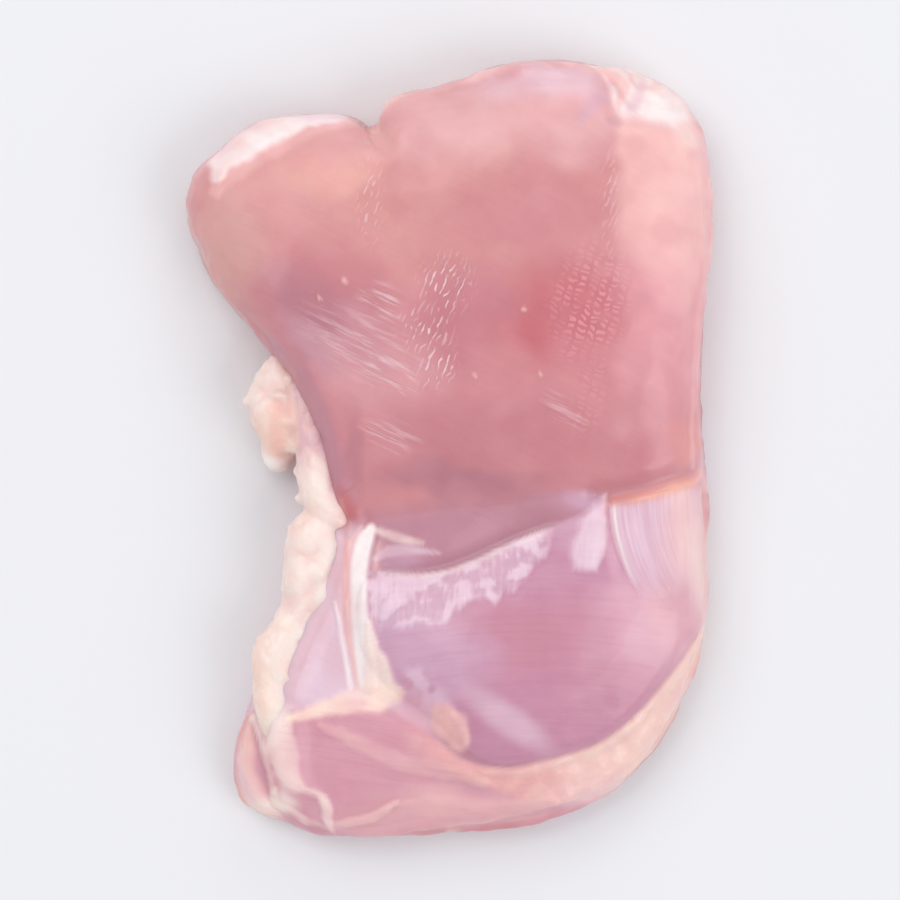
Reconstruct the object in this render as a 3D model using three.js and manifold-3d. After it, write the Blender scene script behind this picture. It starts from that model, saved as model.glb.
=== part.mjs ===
// A raw boneless, skinless chicken thigh that lies flat with its smooth side up.
// Millimetres, +Z up, +Y to the end with the large muscle, origin under the middle of the thigh.
// One solid: the meat is a slab of rings with its muscles as relief, and the cords and lumps
// of fat along its left side are fused to it.
import * as THREE from "three";
import { mergeVertices } from "three/addons/utils/BufferGeometryUtils.js";
import Module from "manifold-3d";

// Driving dimensions, in millimetres. A dome is highest at [x, y] and falls by the square of
// the distance from there, times fallX and fallY.
const LARGE_DOME = { top: 20.5, x: 2, y: 28, fallX: 0.0018, fallY: 0.0011 };
const SMALL_DOME = { top: 18.2, x: 14, y: -32, fallX: 0.0026, fallY: 0.0035 };
const LARGE_SHOULDER = 17; // width over which the large muscle rises from the valley
const LARGE_SOFTNESS = 1.6; // softness of the foot of that rise
const SMALL_SHOULDER = 14; // the same for the small muscle
const SMALL_LIP = 3; // width of the steep lip at its edge
const LIP_SHARE = 0.25; // part of the rise that the lip takes
const CORNER = 2.5; // rounding where two edges of the small muscle meet
const VALLEY_LEFT = 12; // floor between the two muscles, at its left end
const VALLEY_RIGHT = 15.4; // and at its right end
const MEMBRANE_TOP = 11.4; // sheet of membrane left of the small muscle
const BAND_TOP = 13; // fat band and tail of meat round the lower end
const RIM_LEVEL = 0.36; // where the side is widest, as a share of the height above it
const RIM_SHARE = 0.3; // outer share of the slab that the rounded side takes
const FOOT_SHARE = 0.085; // how far the side tucks in to the flat underside
const RIM_POWER = 2.15; // squareness of the rounded side
const EVEN_SPAN = 9; // length of outline that is averaged for the rings further in
const EVEN_STEPS = 8;

// Density of the mesh
const TOP_RINGS = 22;
const SIDE_ROWS = 8;
const FOOT_ROWS = 3;

const MEAT_COLOUR = 0xd9989f;

// Outline seen from above, clockwise from the tip of the large muscle
const OUTLINE = [
  [-45.6, 43.6], [-44.2, 48.9], [-41.1, 52], [-37.3, 55], [-32.8, 57.3],
  [-25.9, 58.7], [-19, 58.9], [-16.1, 57.8], [-14.3, 56.4], [-12.3, 57.2],
  [-11.2, 60.3], [-8.6, 62.5], [-2.2, 63.5], [3.3, 65.1], [8.9, 67.2],
  [16.7, 68.1], [24.7, 67.6], [32.5, 66.2], [38.9, 63.1], [43.1, 58.1],
  [45.3, 50.9], [45.9, 38.4], [44.8, 27.2], [43.9, 14.7], [43.6, 3.6],
  [44.5, -7.5], [45, -20], [44.8, -29.7], [42.3, -38.6], [37.5, -49.2],
  [31.1, -57.5], [22.2, -62.8], [10.3, -65.6], [-3.6, -67.1], [-14.7, -67.9],
  [-21.9, -67.7], [-28.6, -65.1], [-34.2, -63.1], [-36.7, -58.7], [-37, -53.1],
  [-35.3, -47], [-33.2, -40.9], [-31, -34], [-28.2, -27.5], [-26.2, -20],
  [-24.4, -13], [-22.8, -5.5], [-23.8, 4], [-27, 12], [-31.4, 18.4],
  [-35.8, 23.4], [-40.6, 28.8], [-43.8, 35.8],
];
const CENTRE = new THREE.Vector3(7, -1, 0);

// Edge of the large muscle, from left to right
const LARGE_EDGE = [
  [-40, -13], [-24, -11], [-13.3, -10.8], [-2, -9.4], [8.9, -8.1], [20, -7],
  [28, -7.2], [34, -5.8], [40, -3.9], [50, -1.5],
];
// Upper edge of the small muscle, from left to right
const SMALL_EDGE = [
  [-22, -20.4], [-12.8, -21], [-2.6, -21.2], [3.3, -19.4], [8.9, -16.8],
  [14.5, -14.4], [20, -12.3], [24.5, -10.4], [29, -8.6], [40, -5.4], [50, -3],
];
// Left edge of the small muscle, from the top down
const TENDON_EDGE = [
  [-13.6, 4], [-14.4, -12.8], [-15.8, -17.2], [-16.3, -25], [-15.4, -33.9], [-12.6, -39.6],
  [-7.8, -44.2], [-2.2, -48.7], [6, -60],
];
// Line along which the fat band and the tail meet the small muscle, from left to right
const BAND_EDGE = [
  [-38, -45], [-28.6, -46.2], [-18.9, -44.5], [-13, -44.3], [-7.8, -46.6], [-2.2, -50.4],
  [3.3, -54.2], [9.5, -55.3], [17.2, -53.9], [25.6, -51.4], [32.5, -46.4],
  [38.1, -40], [43, -33], [52, -20],
];

// Creases: points of the line, the depth of the crease and its half-width
const CREASES = [
  { // fold of fat at the far right corner
    line: [[26.6, 70], [28.2, 63], [30.8, 58.8], [36.7, 58.3], [47, 56.6]], depth: 1.7, width: 2.1,
  },
  { // lip of the large muscle over the right end of the valley
    line: [[26, -7.8], [34, -6.3], [40, -4.4], [49, -2]], depth: 1.5, width: 1.8,
  },
  { // between the long cord and the fold outside it
    line: [[-34.4, -43], [-33.4, -51], [-32.2, -58], [-30, -66]], depth: 1.6, width: 1.7,
  },
  { // nick in the far edge
    line: [[-14.4, 60], [-14.3, 57.6], [-13.9, 55.8]], depth: 2.4, width: 2.2,
  },
];

// Cords and lumps of fat: each point of the middle line with its half-width, [x, y, z, width]
const FAT_PIECES = [
  [ // lump that hangs over the left side
    [-31, 17, 9, 1.5], [-30.6, 13, 8.4, 3.3], [-30.4, 9.6, 7.6, 5.4], [-30, 6.4, 7.2, 5.9],
    [-29.4, 3, 6.4, 4.7], [-29.7, -0.4, 5, 3.2], [-30.6, -4.4, 3.8, 1.7],
  ],
  [ // strand between the lump and the large muscle
    [-26.6, 11.6, 10.6, 1.8], [-24.2, 5.2, 11.4, 2.8], [-23.6, -0.4, 11.2, 3.2],
    [-23.8, -5.6, 11, 3.5], [-21.6, -9.8, 11.4, 3.3], [-18.2, -12.1, 12, 1.8],
  ],
  [ // long cord down the left side
    [-23.6, -10.8, 10.2, 3.2], [-23.9, -15.8, 9.6, 4.7], [-24.2, -21.4, 9.2, 4.8], [-25.2, -27, 9, 4.2],
    [-27.6, -32, 8.8, 4], [-29.6, -36.4, 8.6, 4.4], [-30.6, -41.8, 8.8, 3.7], [-29.9, -47, 9.6, 3.2],
    [-29.4, -52, 10.4, 2.9], [-28.4, -58.5, 10, 1.9],
  ],
  [ // tendon beside the small muscle
    [-12.5, -12.6, 12.6, 0.9], [-15.2, -20, 12, 1.75], [-15.7, -27, 11.8, 1.65],
    [-14.2, -35, 12, 2], [-12.2, -41.5, 12.4, 2.9],
  ],
  [ // strand across the foot of the membrane
    [-27.4, -45.6, 10, 1.2], [-20.5, -44.4, 10.8, 1.9], [-13, -42.6, 11.8, 2.3],
  ],
  [ // small lump at the lower edge of the small muscle
    [-1.8, -45, 14.2, 1.6], [0.6, -48.6, 14, 2.8], [2.6, -52.4, 13, 2],
  ],
];
const CORD_SIDES = 12;
const CORD_ROWS_PER_MM = 0.6;
const LUMP_HEIGHT = 0.12; // lumps on a cord, as a share of its half-width
const LUMP_LENGTH = 6.4;

function curveOf(points, closed = false) {
  const places = points.map(([x, y, z = 0]) => new THREE.Vector3(x, y, z));
  return new THREE.CatmullRomCurve3(places, closed, "centripetal");
}

const smooth = (low, high, x) => THREE.MathUtils.smoothstep(x, low, high);

// Height of a rounded shoulder that rises from 0 to 1 over the width. With a soft foot it
// starts level, three quarters of the softness further out.
function shoulder(distance, width, softness = 0) {
  const reach = Math.max(distance + 0.75 * softness, 0);
  const softened = softness > 0 ? reach ** 3 / (reach + softness) ** 2 : reach;
  const t = THREE.MathUtils.clamp(softened / width, 0, 1);
  return 0.55 * Math.sqrt(1 - (1 - t) ** 2) + 0.45 * t * t * (3 - 2 * t);
}

// Smallest of the values, with the corner between two of them rounded over the width
const softMin = (values, width) =>
  -width * Math.log(values.reduce((sum, value) => sum + Math.exp(-value / width), 0));

// Distance from an open line, positive on its left hand as it is walked
function signedDistanceTo(points) {
  const line = curveOf(points).getPoints(90);
  return (x, y) => {
    let best = Infinity;
    let side = 1;
    for (let i = 0; i + 1 < line.length; i++) {
      const [a, b] = [line[i], line[i + 1]];
      const [dx, dy] = [b.x - a.x, b.y - a.y];
      const t = THREE.MathUtils.clamp(((x - a.x) * dx + (y - a.y) * dy) / (dx * dx + dy * dy), 0, 1);
      const gap = Math.hypot(x - a.x - t * dx, y - a.y - t * dy);
      if (gap < best) {
        best = gap;
        side = Math.sign(dx * (y - a.y) - dy * (x - a.x)) || 1;
      }
    }
    return best * side;
  };
}

const aboveLargeEdge = signedDistanceTo(LARGE_EDGE);
const aboveSmallEdge = signedDistanceTo(SMALL_EDGE);
const rightOfTendon = signedDistanceTo(TENDON_EDGE);
const aboveBand = signedDistanceTo(BAND_EDGE);
const creases = CREASES.map((crease) => ({ ...crease, distance: signedDistanceTo(crease.line) }));

const domeHeight = (dome, x, y) =>
  dome.top - dome.fallX * (x - dome.x) ** 2 - dome.fallY * (y - dome.y) ** 2;

// Gentle unevenness of soft meat
const unevenness = (x, y) =>
  0.35 * Math.sin(x / 7.1 + 1.3) * Math.sin(y / 9.3 + 0.4) + 0.22 * Math.sin(x / 3.7 - y / 5.9 + 2.1);

// Height of the upper surface before the side is rounded off
function topHeight(x, y) {
  const overLarge = aboveLargeEdge(x, y);
  const underSmall = -aboveSmallEdge(x, y);
  const right = rightOfTendon(x, y);
  const overBand = aboveBand(x, y);

  const valley = THREE.MathUtils.lerp(VALLEY_LEFT, VALLEY_RIGHT, smooth(-16, 30, x));
  const leftOrRight = THREE.MathUtils.lerp(MEMBRANE_TOP, valley, smooth(-4, 2, right));
  const floor = THREE.MathUtils.lerp(BAND_TOP, leftOrRight, smooth(-CORNER, CORNER, overBand));

  const inSmall = softMin([underSmall, right, overBand], CORNER);
  const lip = shoulder(inSmall, SMALL_LIP);
  const smallRise = lip * LIP_SHARE + shoulder(inSmall, SMALL_SHOULDER) * (1 - LIP_SHARE);
  const creased = creases.reduce((sum, { distance, depth, width }) => {
    return sum + depth * Math.exp(-((distance(x, y) / width) ** 2));
  }, 0);
  return (
    floor +
    (domeHeight(LARGE_DOME, x, y) - floor) * shoulder(overLarge, LARGE_SHOULDER, LARGE_SOFTNESS) +
    (domeHeight(SMALL_DOME, x, y) - floor) * smallRise +
    unevenness(x, y) -
    creased
  );
}

// A closed slab: rings that widen to the outline over the top, then the rounded side,
// then the side tucked in to the flat underside. A ring of the top holds 8 more points
// than the one inside it, so its triangles are all about the same size.
function meatGeometry() {
  const outline = curveOf(OUTLINE, true);
  outline.arcLengthDivisions = 2000;
  const loopCount = 8 * TOP_RINGS;
  const positions = [];

  // Point of the outline, and the mean of the points round it, which has no nicks
  const span = EVEN_SPAN / outline.getLength();
  const evenPointAt = (turn) => {
    const sum = new THREE.Vector3();
    for (let step = 0; step <= EVEN_STEPS; step++) {
      sum.add(outline.getPointAt((turn + span * (step / EVEN_STEPS - 0.5) + 1) % 1));
    }
    return sum.divideScalar(EVEN_STEPS + 1);
  };
  const triangles = [];

  const addRing = (count, share, heightAt) => {
    const first = positions.length / 3;
    for (let i = 0; i < count; i++) {
      const rim = evenPointAt(i / count).lerp(outline.getPointAt(i / count), smooth(0.8, 0.98, share));
      const point = CENTRE.clone().lerp(rim, share);
      positions.push(point.x, point.y, heightAt(point.x, point.y));
    }
    return first;
  };

  positions.push(CENTRE.x, CENTRE.y, topHeight(CENTRE.x, CENTRE.y));
  let inner = 0;
  for (let ring = 1; ring <= TOP_RINGS; ring++) {
    const outer = addRing(8 * ring, ((1 - RIM_SHARE) * ring) / TOP_RINGS, topHeight);
    const innerCount = Math.max(1, 8 * (ring - 1));
    for (let sector = 0; sector < 8; sector++) {
      for (let i = 0; i < ring; i++) {
        const a = outer + sector * ring + i;
        const b = outer + ((sector * ring + i + 1) % (8 * ring));
        const c = inner + ((sector * (ring - 1) + i) % innerCount);
        triangles.push(a, c, b);
        if (i + 1 < ring) triangles.push(b, c, inner + ((sector * (ring - 1) + i + 1) % innerCount));
      }
    }
    inner = outer;
  }

  const joinRows = (upper, lower) => {
    for (let i = 0; i < loopCount; i++) {
      const next = (i + 1) % loopCount;
      triangles.push(upper + i, upper + next, lower + i, lower + i, upper + next, lower + next);
    }
  };
  for (let row = 1; row <= SIDE_ROWS; row++) {
    const out = Math.sin((Math.PI / 2) * (row / SIDE_ROWS));
    const rise = (1 - out ** RIM_POWER) ** (1 / RIM_POWER);
    const share = 1 - RIM_SHARE + RIM_SHARE * out;
    const level = RIM_LEVEL + (1 - RIM_LEVEL) * rise;
    const outer = addRing(loopCount, share, (x, y) => topHeight(x, y) * level);
    joinRows(inner, outer);
    inner = outer;
  }
  for (let row = 1; row <= FOOT_ROWS; row++) {
    const turn = (Math.PI / 2) * (row / FOOT_ROWS);
    const level = row === FOOT_ROWS ? 0 : RIM_LEVEL * (1 - Math.sin(turn));
    const share = 1 - FOOT_SHARE * (1 - Math.cos(turn));
    const lower = addRing(loopCount, share, (x, y) => topHeight(x, y) * level);
    joinRows(inner, lower);
    inner = lower;
  }
  const middle = positions.length / 3;
  positions.push(CENTRE.x, CENTRE.y, 0);
  for (let i = 0; i < loopCount; i++) triangles.push(inner + i, inner + ((i + 1) % loopCount), middle);

  const geometry = new THREE.BufferGeometry();
  geometry.setAttribute("position", new THREE.Float32BufferAttribute(positions, 3));
  geometry.setIndex(triangles);
  return geometry;
}

// A sphere drawn out along a line: its poles go to the round ends, and its girth follows the widths
function cordGeometry(points) {
  const curve = curveOf(points);
  const length = curve.getLength();
  const rows = Math.max(9, Math.round(length * CORD_ROWS_PER_MM));
  const ball = new THREE.SphereGeometry(1, CORD_SIDES, rows);
  ball.deleteAttribute("normal");
  ball.deleteAttribute("uv");
  const geometry = mergeVertices(ball, 1e-5);
  const position = geometry.getAttribute("position");
  const up = new THREE.Vector3(0, 0, 1);
  for (let i = 0; i < position.count; i++) {
    const [sx, sy, sz] = [position.getX(i), position.getY(i), position.getZ(i)];
    const along = (1 - sy) / 2;
    const place = curve.getPoint(along);
    const across = new THREE.Vector3().crossVectors(up, curve.getTangent(along)).normalize();
    const lift = new THREE.Vector3().crossVectors(curve.getTangent(along), across);
    const step = along * (points.length - 1);
    const index = Math.min(Math.floor(step), points.length - 2);
    const width = THREE.MathUtils.lerp(points[index][3], points[index + 1][3], step - index);
    const toEnd = Math.min(along, 1 - along) * length;
    const fullness = Math.sqrt(1 - (1 - Math.min(1, toEnd / width)) ** 2);
    const turn = Math.atan2(sz, sx);
    const wave = Math.sin((place.y * 2 * Math.PI) / LUMP_LENGTH + 2 * turn) * Math.cos(3 * turn + place.y);
    const radius = width * fullness * (1 + LUMP_HEIGHT * wave);
    place.addScaledVector(across, radius * Math.cos(turn)).addScaledVector(lift, radius * Math.sin(turn));
    position.setXYZ(i, place.x, place.y, place.z);
  }
  return geometry;
}

const wasm = await Module();
wasm.setup();

const solidOf = (geometry) =>
  new wasm.Manifold(
    new wasm.Mesh({
      numProp: 3,
      vertProperties: geometry.getAttribute("position").array,
      triVerts: new Uint32Array(geometry.index.array),
    }),
  );

const fused = FAT_PIECES.reduce((solid, points) => {
  return solid.add(solidOf(cordGeometry(points)));
}, solidOf(meatGeometry()));

// The fused solid as a geometry, moved so that the origin is under the middle of its box
function finished(solid) {
  const mesh = solid.getMesh();
  const geometry = new THREE.BufferGeometry();
  geometry.setAttribute("position", new THREE.Float32BufferAttribute(mesh.vertProperties, 3));
  geometry.setIndex([...mesh.triVerts]);
  geometry.computeBoundingBox();
  const middle = geometry.boundingBox.getCenter(new THREE.Vector3());
  geometry.translate(-middle.x, -middle.y, -geometry.boundingBox.min.z);
  geometry.computeVertexNormals();
  return geometry;
}

const thigh = new THREE.Mesh(
  finished(fused),
  new THREE.MeshStandardMaterial({ color: MEAT_COLOUR, roughness: 0.35, metalness: 0 }),
);
thigh.name = "chicken_thigh";

const group = new THREE.Group();
group.add(thigh);

export default group;
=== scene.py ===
# A raw boneless chicken thigh that lies flat with its smooth side up.
# Shapes are worked out in millimetres, and a mesh is stored in metres.
import itertools

import bpy
import numpy as np
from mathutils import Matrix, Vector


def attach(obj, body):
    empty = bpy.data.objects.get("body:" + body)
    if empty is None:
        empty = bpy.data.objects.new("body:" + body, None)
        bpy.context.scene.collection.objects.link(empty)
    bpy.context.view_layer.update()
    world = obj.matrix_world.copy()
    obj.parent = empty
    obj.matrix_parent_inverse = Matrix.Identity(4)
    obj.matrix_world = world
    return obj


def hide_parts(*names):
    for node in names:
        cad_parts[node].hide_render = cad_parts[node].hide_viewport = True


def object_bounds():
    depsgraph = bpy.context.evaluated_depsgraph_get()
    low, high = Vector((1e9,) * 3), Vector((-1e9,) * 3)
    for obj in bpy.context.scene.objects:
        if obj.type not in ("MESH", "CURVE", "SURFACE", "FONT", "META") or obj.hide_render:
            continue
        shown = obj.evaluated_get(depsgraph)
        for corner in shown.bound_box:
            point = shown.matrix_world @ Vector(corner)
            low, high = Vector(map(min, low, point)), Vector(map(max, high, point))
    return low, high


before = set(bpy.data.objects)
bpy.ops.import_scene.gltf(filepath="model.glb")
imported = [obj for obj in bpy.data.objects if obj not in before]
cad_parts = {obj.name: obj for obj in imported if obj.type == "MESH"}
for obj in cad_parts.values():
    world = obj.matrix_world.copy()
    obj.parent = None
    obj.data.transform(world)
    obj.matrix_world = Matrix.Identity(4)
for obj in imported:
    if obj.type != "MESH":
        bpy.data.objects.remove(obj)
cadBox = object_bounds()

print("frame loaded")

millimetre = 0.001
noiseTable = np.random.default_rng(11).random((64, 64, 64))
# Nearly a rotation, which tilts the lattice of the noise
noiseTurn = np.array([[0.7, -0.5657, 0.4363], [0.6, 0.8, 0.0748], [-0.3867, 0.2, 0.9]])


# Rises from 0 at low to 1 at high, as 3t² - 2t³
def smooth(low, high, value):
    t = np.clip((value - low) / (high - low), 0, 1)
    return t * t * (3 - 2 * t)


# Blend of two values: first where share is 0, second where it is 1
def lerp(first, second, share):
    return first + (second - first) * share


# Smallest of several fields with the corners between them rounded:
# minus width times the log of the sum of exp(-field / width)
def softMin(width, *fields):
    return -width * np.log(sum(np.exp(-field / width) for field in fields))


# Bell of height 1 whose half-width is width: exp(-(distance / width)²)
def bell(distance, width):
    return np.exp(-(distance / width) ** 2)


# Window: rises from 0 to 1 between the first two places and falls back between the last two
def window(value, start, full, fade, end):
    return smooth(start, full, value) * smooth(end, fade, value)


# Value noise from -1 to 1: random numbers on a lattice that is tilted to the axes, blended
# between the eight corners of each cell with weights 6t⁵ - 15t⁴ + 10t³
def softNoise(x, y, z, cell, shift=0):
    flat = np.stack(np.broadcast_arrays(x, y, z)).astype(float)
    place = np.tensordot(noiseTurn, flat, 1) / cell + 7.37 * shift
    corner = np.floor(place).astype(int)
    part = place - corner
    weight = part ** 3 * (part * (part * 6 - 15) + 10)
    total = 0
    for step in itertools.product((0, 1), repeat=3):
        index = [(corner[axis] + step[axis]) % 64 for axis in range(3)]
        share = [weight[axis] if step[axis] else 1 - weight[axis] for axis in range(3)]
        total = total + share[0] * share[1] * share[2] * noiseTable[index[0], index[1], index[2]]
    return 2 * total - 1


# Smooth curve through points: cubic stretches whose end slopes follow the centripetal
# Catmull-Rom rule, where the gap between two points counts by its square root.
# Columns past the third, such as a width, are carried along.
def curveThrough(points, steps=24, closed=False):
    p = np.asarray(points, float)
    if closed:
        before, start, end, after = np.roll(p, 1, 0), p, np.roll(p, -1, 0), np.roll(p, -2, 0)
    else:
        q = np.vstack([2 * p[0] - p[1], p, 2 * p[-1] - p[-2]])
        before, start, end, after = q[:-3], q[1:-2], q[2:-1], q[3:]

    def rootGap(a, b):
        return np.sqrt(np.linalg.norm((b - a)[:, :3], axis=1, keepdims=True))

    gap0, gap1, gap2 = rootGap(before, start), rootGap(start, end), rootGap(end, after)
    slope1 = ((start - before) / gap0 - (end - before) / (gap0 + gap1) + (end - start) / gap1) * gap1
    slope2 = ((end - start) / gap1 - (after - start) / (gap1 + gap2) + (after - end) / gap2) * gap1
    t = (np.arange(steps) / steps)[None, :, None]
    start, end, slope1, slope2 = (a[:, None] for a in (start, end, slope1, slope2))
    curve = (start + slope1 * t + (3 * (end - start) - 2 * slope1 - slope2) * t ** 2
             + (2 * (start - end) + slope1 + slope2) * t ** 3).reshape(-1, p.shape[1])
    return curve if closed else np.vstack([curve, p[-1:]])


# Points of a curve at the given shares of its length
def atShares(curve, shares):
    length = np.r_[0, np.cumsum(np.linalg.norm(np.diff(curve[:, :3], axis=0), axis=1))]
    return np.stack([np.interp(shares * length[-1], length, column) for column in curve.T], axis=1)


# Signed distance from each point to a line, positive on the left hand of its walk, and the last
# column of the line, such as a half-width, at the nearest place
def nearLine(line, x, y, steps):
    curve = curveThrough(line, steps)
    best, width = np.full(x.shape, np.inf), np.ones(x.shape)
    for a, b in zip(curve[:-1], curve[1:]):
        dx, dy = b[:2] - a[:2]
        t = np.clip(((x - a[0]) * dx + (y - a[1]) * dy) / (dx * dx + dy * dy), 0, 1)
        gap = np.hypot(x - a[0] - t * dx, y - a[1] - t * dy)
        nearer = gap < np.abs(best)
        best = np.where(nearer, np.copysign(gap, dx * (y - a[1]) - dy * (x - a[0])), best)
        width = np.where(nearer, lerp(a[-1], b[-1], t), width)
    return best, width


# Inner distance to the sides of a convex shape, its corners listed anticlockwise
def insideOf(corners, x, y):
    c = np.asarray(corners, float)
    step = np.roll(c, -1, 0) - c
    step /= np.linalg.norm(step, axis=1, keepdims=True)
    return np.min([along[0] * (y - corner[1]) - along[1] * (x - corner[0])
                   for corner, along in zip(c, step)], axis=0)


# Soft spot: 1 inside a turned ellipse, falling to 0 outside it
def spot(x, y, at, size, turn=0):
    angle = np.radians(turn)
    u = (x - at[0]) * np.cos(angle) + (y - at[1]) * np.sin(angle)
    v = -(x - at[0]) * np.sin(angle) + (y - at[1]) * np.cos(angle)
    return 1 - smooth(0.35, 1.3, np.hypot(u / size[0], v / size[1]))


# A triple of display values from 0 to 255 as linear light
def linear(tone):
    c = np.asarray(tone, float) / 255
    return np.where(c <= 0.04045, c / 12.92, ((c + 0.055) / 1.055) ** 2.4)


# Stores arrays as a smooth-shaded mesh object that rides on the body and takes the given material
def makePiece(name, points, faces, material, attributes):
    mesh = bpy.data.meshes.new(name)
    mesh.from_pydata((points * millimetre).tolist(), [], faces.tolist())
    mesh.polygons.foreach_set("use_smooth", np.ones(len(mesh.polygons), bool))
    for label, values in attributes.items():
        kind, field = "FLOAT", "value"
        if label == "paint":
            kind, field, values = "FLOAT_COLOR", "color", np.c_[values, np.ones(len(values))]
        elif values.ndim == 2:
            kind, field = "FLOAT_VECTOR", "vector"
        layer = mesh.attributes.new(label, kind, "POINT")
        layer.data.foreach_set(field, values.astype(np.float32).ravel())
    mesh.materials.append(material)
    mesh.update()
    piece = bpy.data.objects.new(name, mesh)
    bpy.context.scene.collection.objects.link(piece)
    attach(piece, "root")
    print(name, "made:", len(points), "points,", len(faces), "faces")
    return piece


# Outward normal at each point: the sum of the cross products of its triangles' edges
def normalsOf(points, faces):
    a, b, c = (points[faces[:, i]] for i in range(3))
    cross = np.cross(b - a, c - a)
    total = np.stack([
        sum(np.bincount(faces[:, i], cross[:, axis], len(points)) for i in range(3)) for axis in range(3)
    ], axis=1)
    return total / np.maximum(np.linalg.norm(total, axis=1, keepdims=True), 1e-12)


# Outline and the lines that divide the upper surface, the same as in the solid
outline = [
    (-45.6, 43.6), (-44.2, 48.9), (-41.1, 52), (-37.3, 55), (-32.8, 57.3), (-25.9, 58.7), (-19, 58.9),
    (-16.1, 57.8), (-14.3, 56.4), (-12.3, 57.2), (-11.2, 60.3), (-8.6, 62.5), (-2.2, 63.5), (3.3, 65.1),
    (8.9, 67.2), (16.7, 68.1), (24.7, 67.6), (32.5, 66.2), (38.9, 63.1), (43.1, 58.1), (45.3, 50.9),
    (45.9, 38.4), (44.8, 27.2), (43.9, 14.7), (43.6, 3.6), (44.5, -7.5), (45, -20), (44.8, -29.7),
    (42.3, -38.6), (37.5, -49.2), (31.1, -57.5), (22.2, -62.8), (10.3, -65.6), (-3.6, -67.1),
    (-14.7, -67.9), (-21.9, -67.7), (-28.6, -65.1), (-34.2, -63.1), (-36.7, -58.7), (-37, -53.1),
    (-35.3, -47), (-33.2, -40.9), (-31, -34), (-28.2, -27.5), (-26.2, -20), (-24.4, -13), (-22.8, -5.5),
    (-23.8, 4), (-27, 12), (-31.4, 18.4), (-35.8, 23.4), (-40.6, 28.8), (-43.8, 35.8),
]
centre = np.array([7.0, -1.0])
edges = {
    "large": [(-40, -13), (-24, -11), (-13.3, -10.8), (-2, -9.4), (8.9, -8.1), (20, -7), (28, -7.2),
              (34, -5.8), (40, -3.9), (50, -1.5)],
    "small": [(-22, -20.4), (-12.8, -21), (-2.6, -21.2), (3.3, -19.4), (8.9, -16.8), (14.5, -14.4),
              (20, -12.3), (24.5, -10.4), (29, -8.6), (40, -5.4), (50, -3)],
    "tendon": [(-13.6, 4), (-14.4, -12.8), (-15.8, -17.2), (-16.3, -25), (-15.4, -33.9), (-12.6, -39.6),
               (-7.8, -44.2), (-2.2, -48.7), (6, -60)],
    "band": [(-38, -45), (-28.6, -46.2), (-18.9, -44.5), (-13, -44.3), (-7.8, -46.6), (-2.2, -50.4),
             (3.3, -54.2), (9.5, -55.3), (17.2, -53.9), (25.6, -51.4), (32.5, -46.4), (38.1, -40),
             (43, -33), (52, -20)],
    "bandFoot": [(-24, -45.5), (-15, -49.5), (-6, -54), (4, -58.2), (14, -61.6), (24, -63.5), (40, -66)],
    "topFold": [(26.6, 70), (28.2, 63), (30.8, 58.8), (36.7, 58.3), (47, 56.6)],
    "lip": [(26, -7.8), (34, -6.3), (40, -4.4), (49, -2)],
    "outerFold": [(-34.4, -43), (-33.4, -51), (-32.2, -58), (-30, -66)],
    "nick": [(-14.4, 60), (-14.3, 57.6), (-13.9, 55.8)],
}
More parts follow.
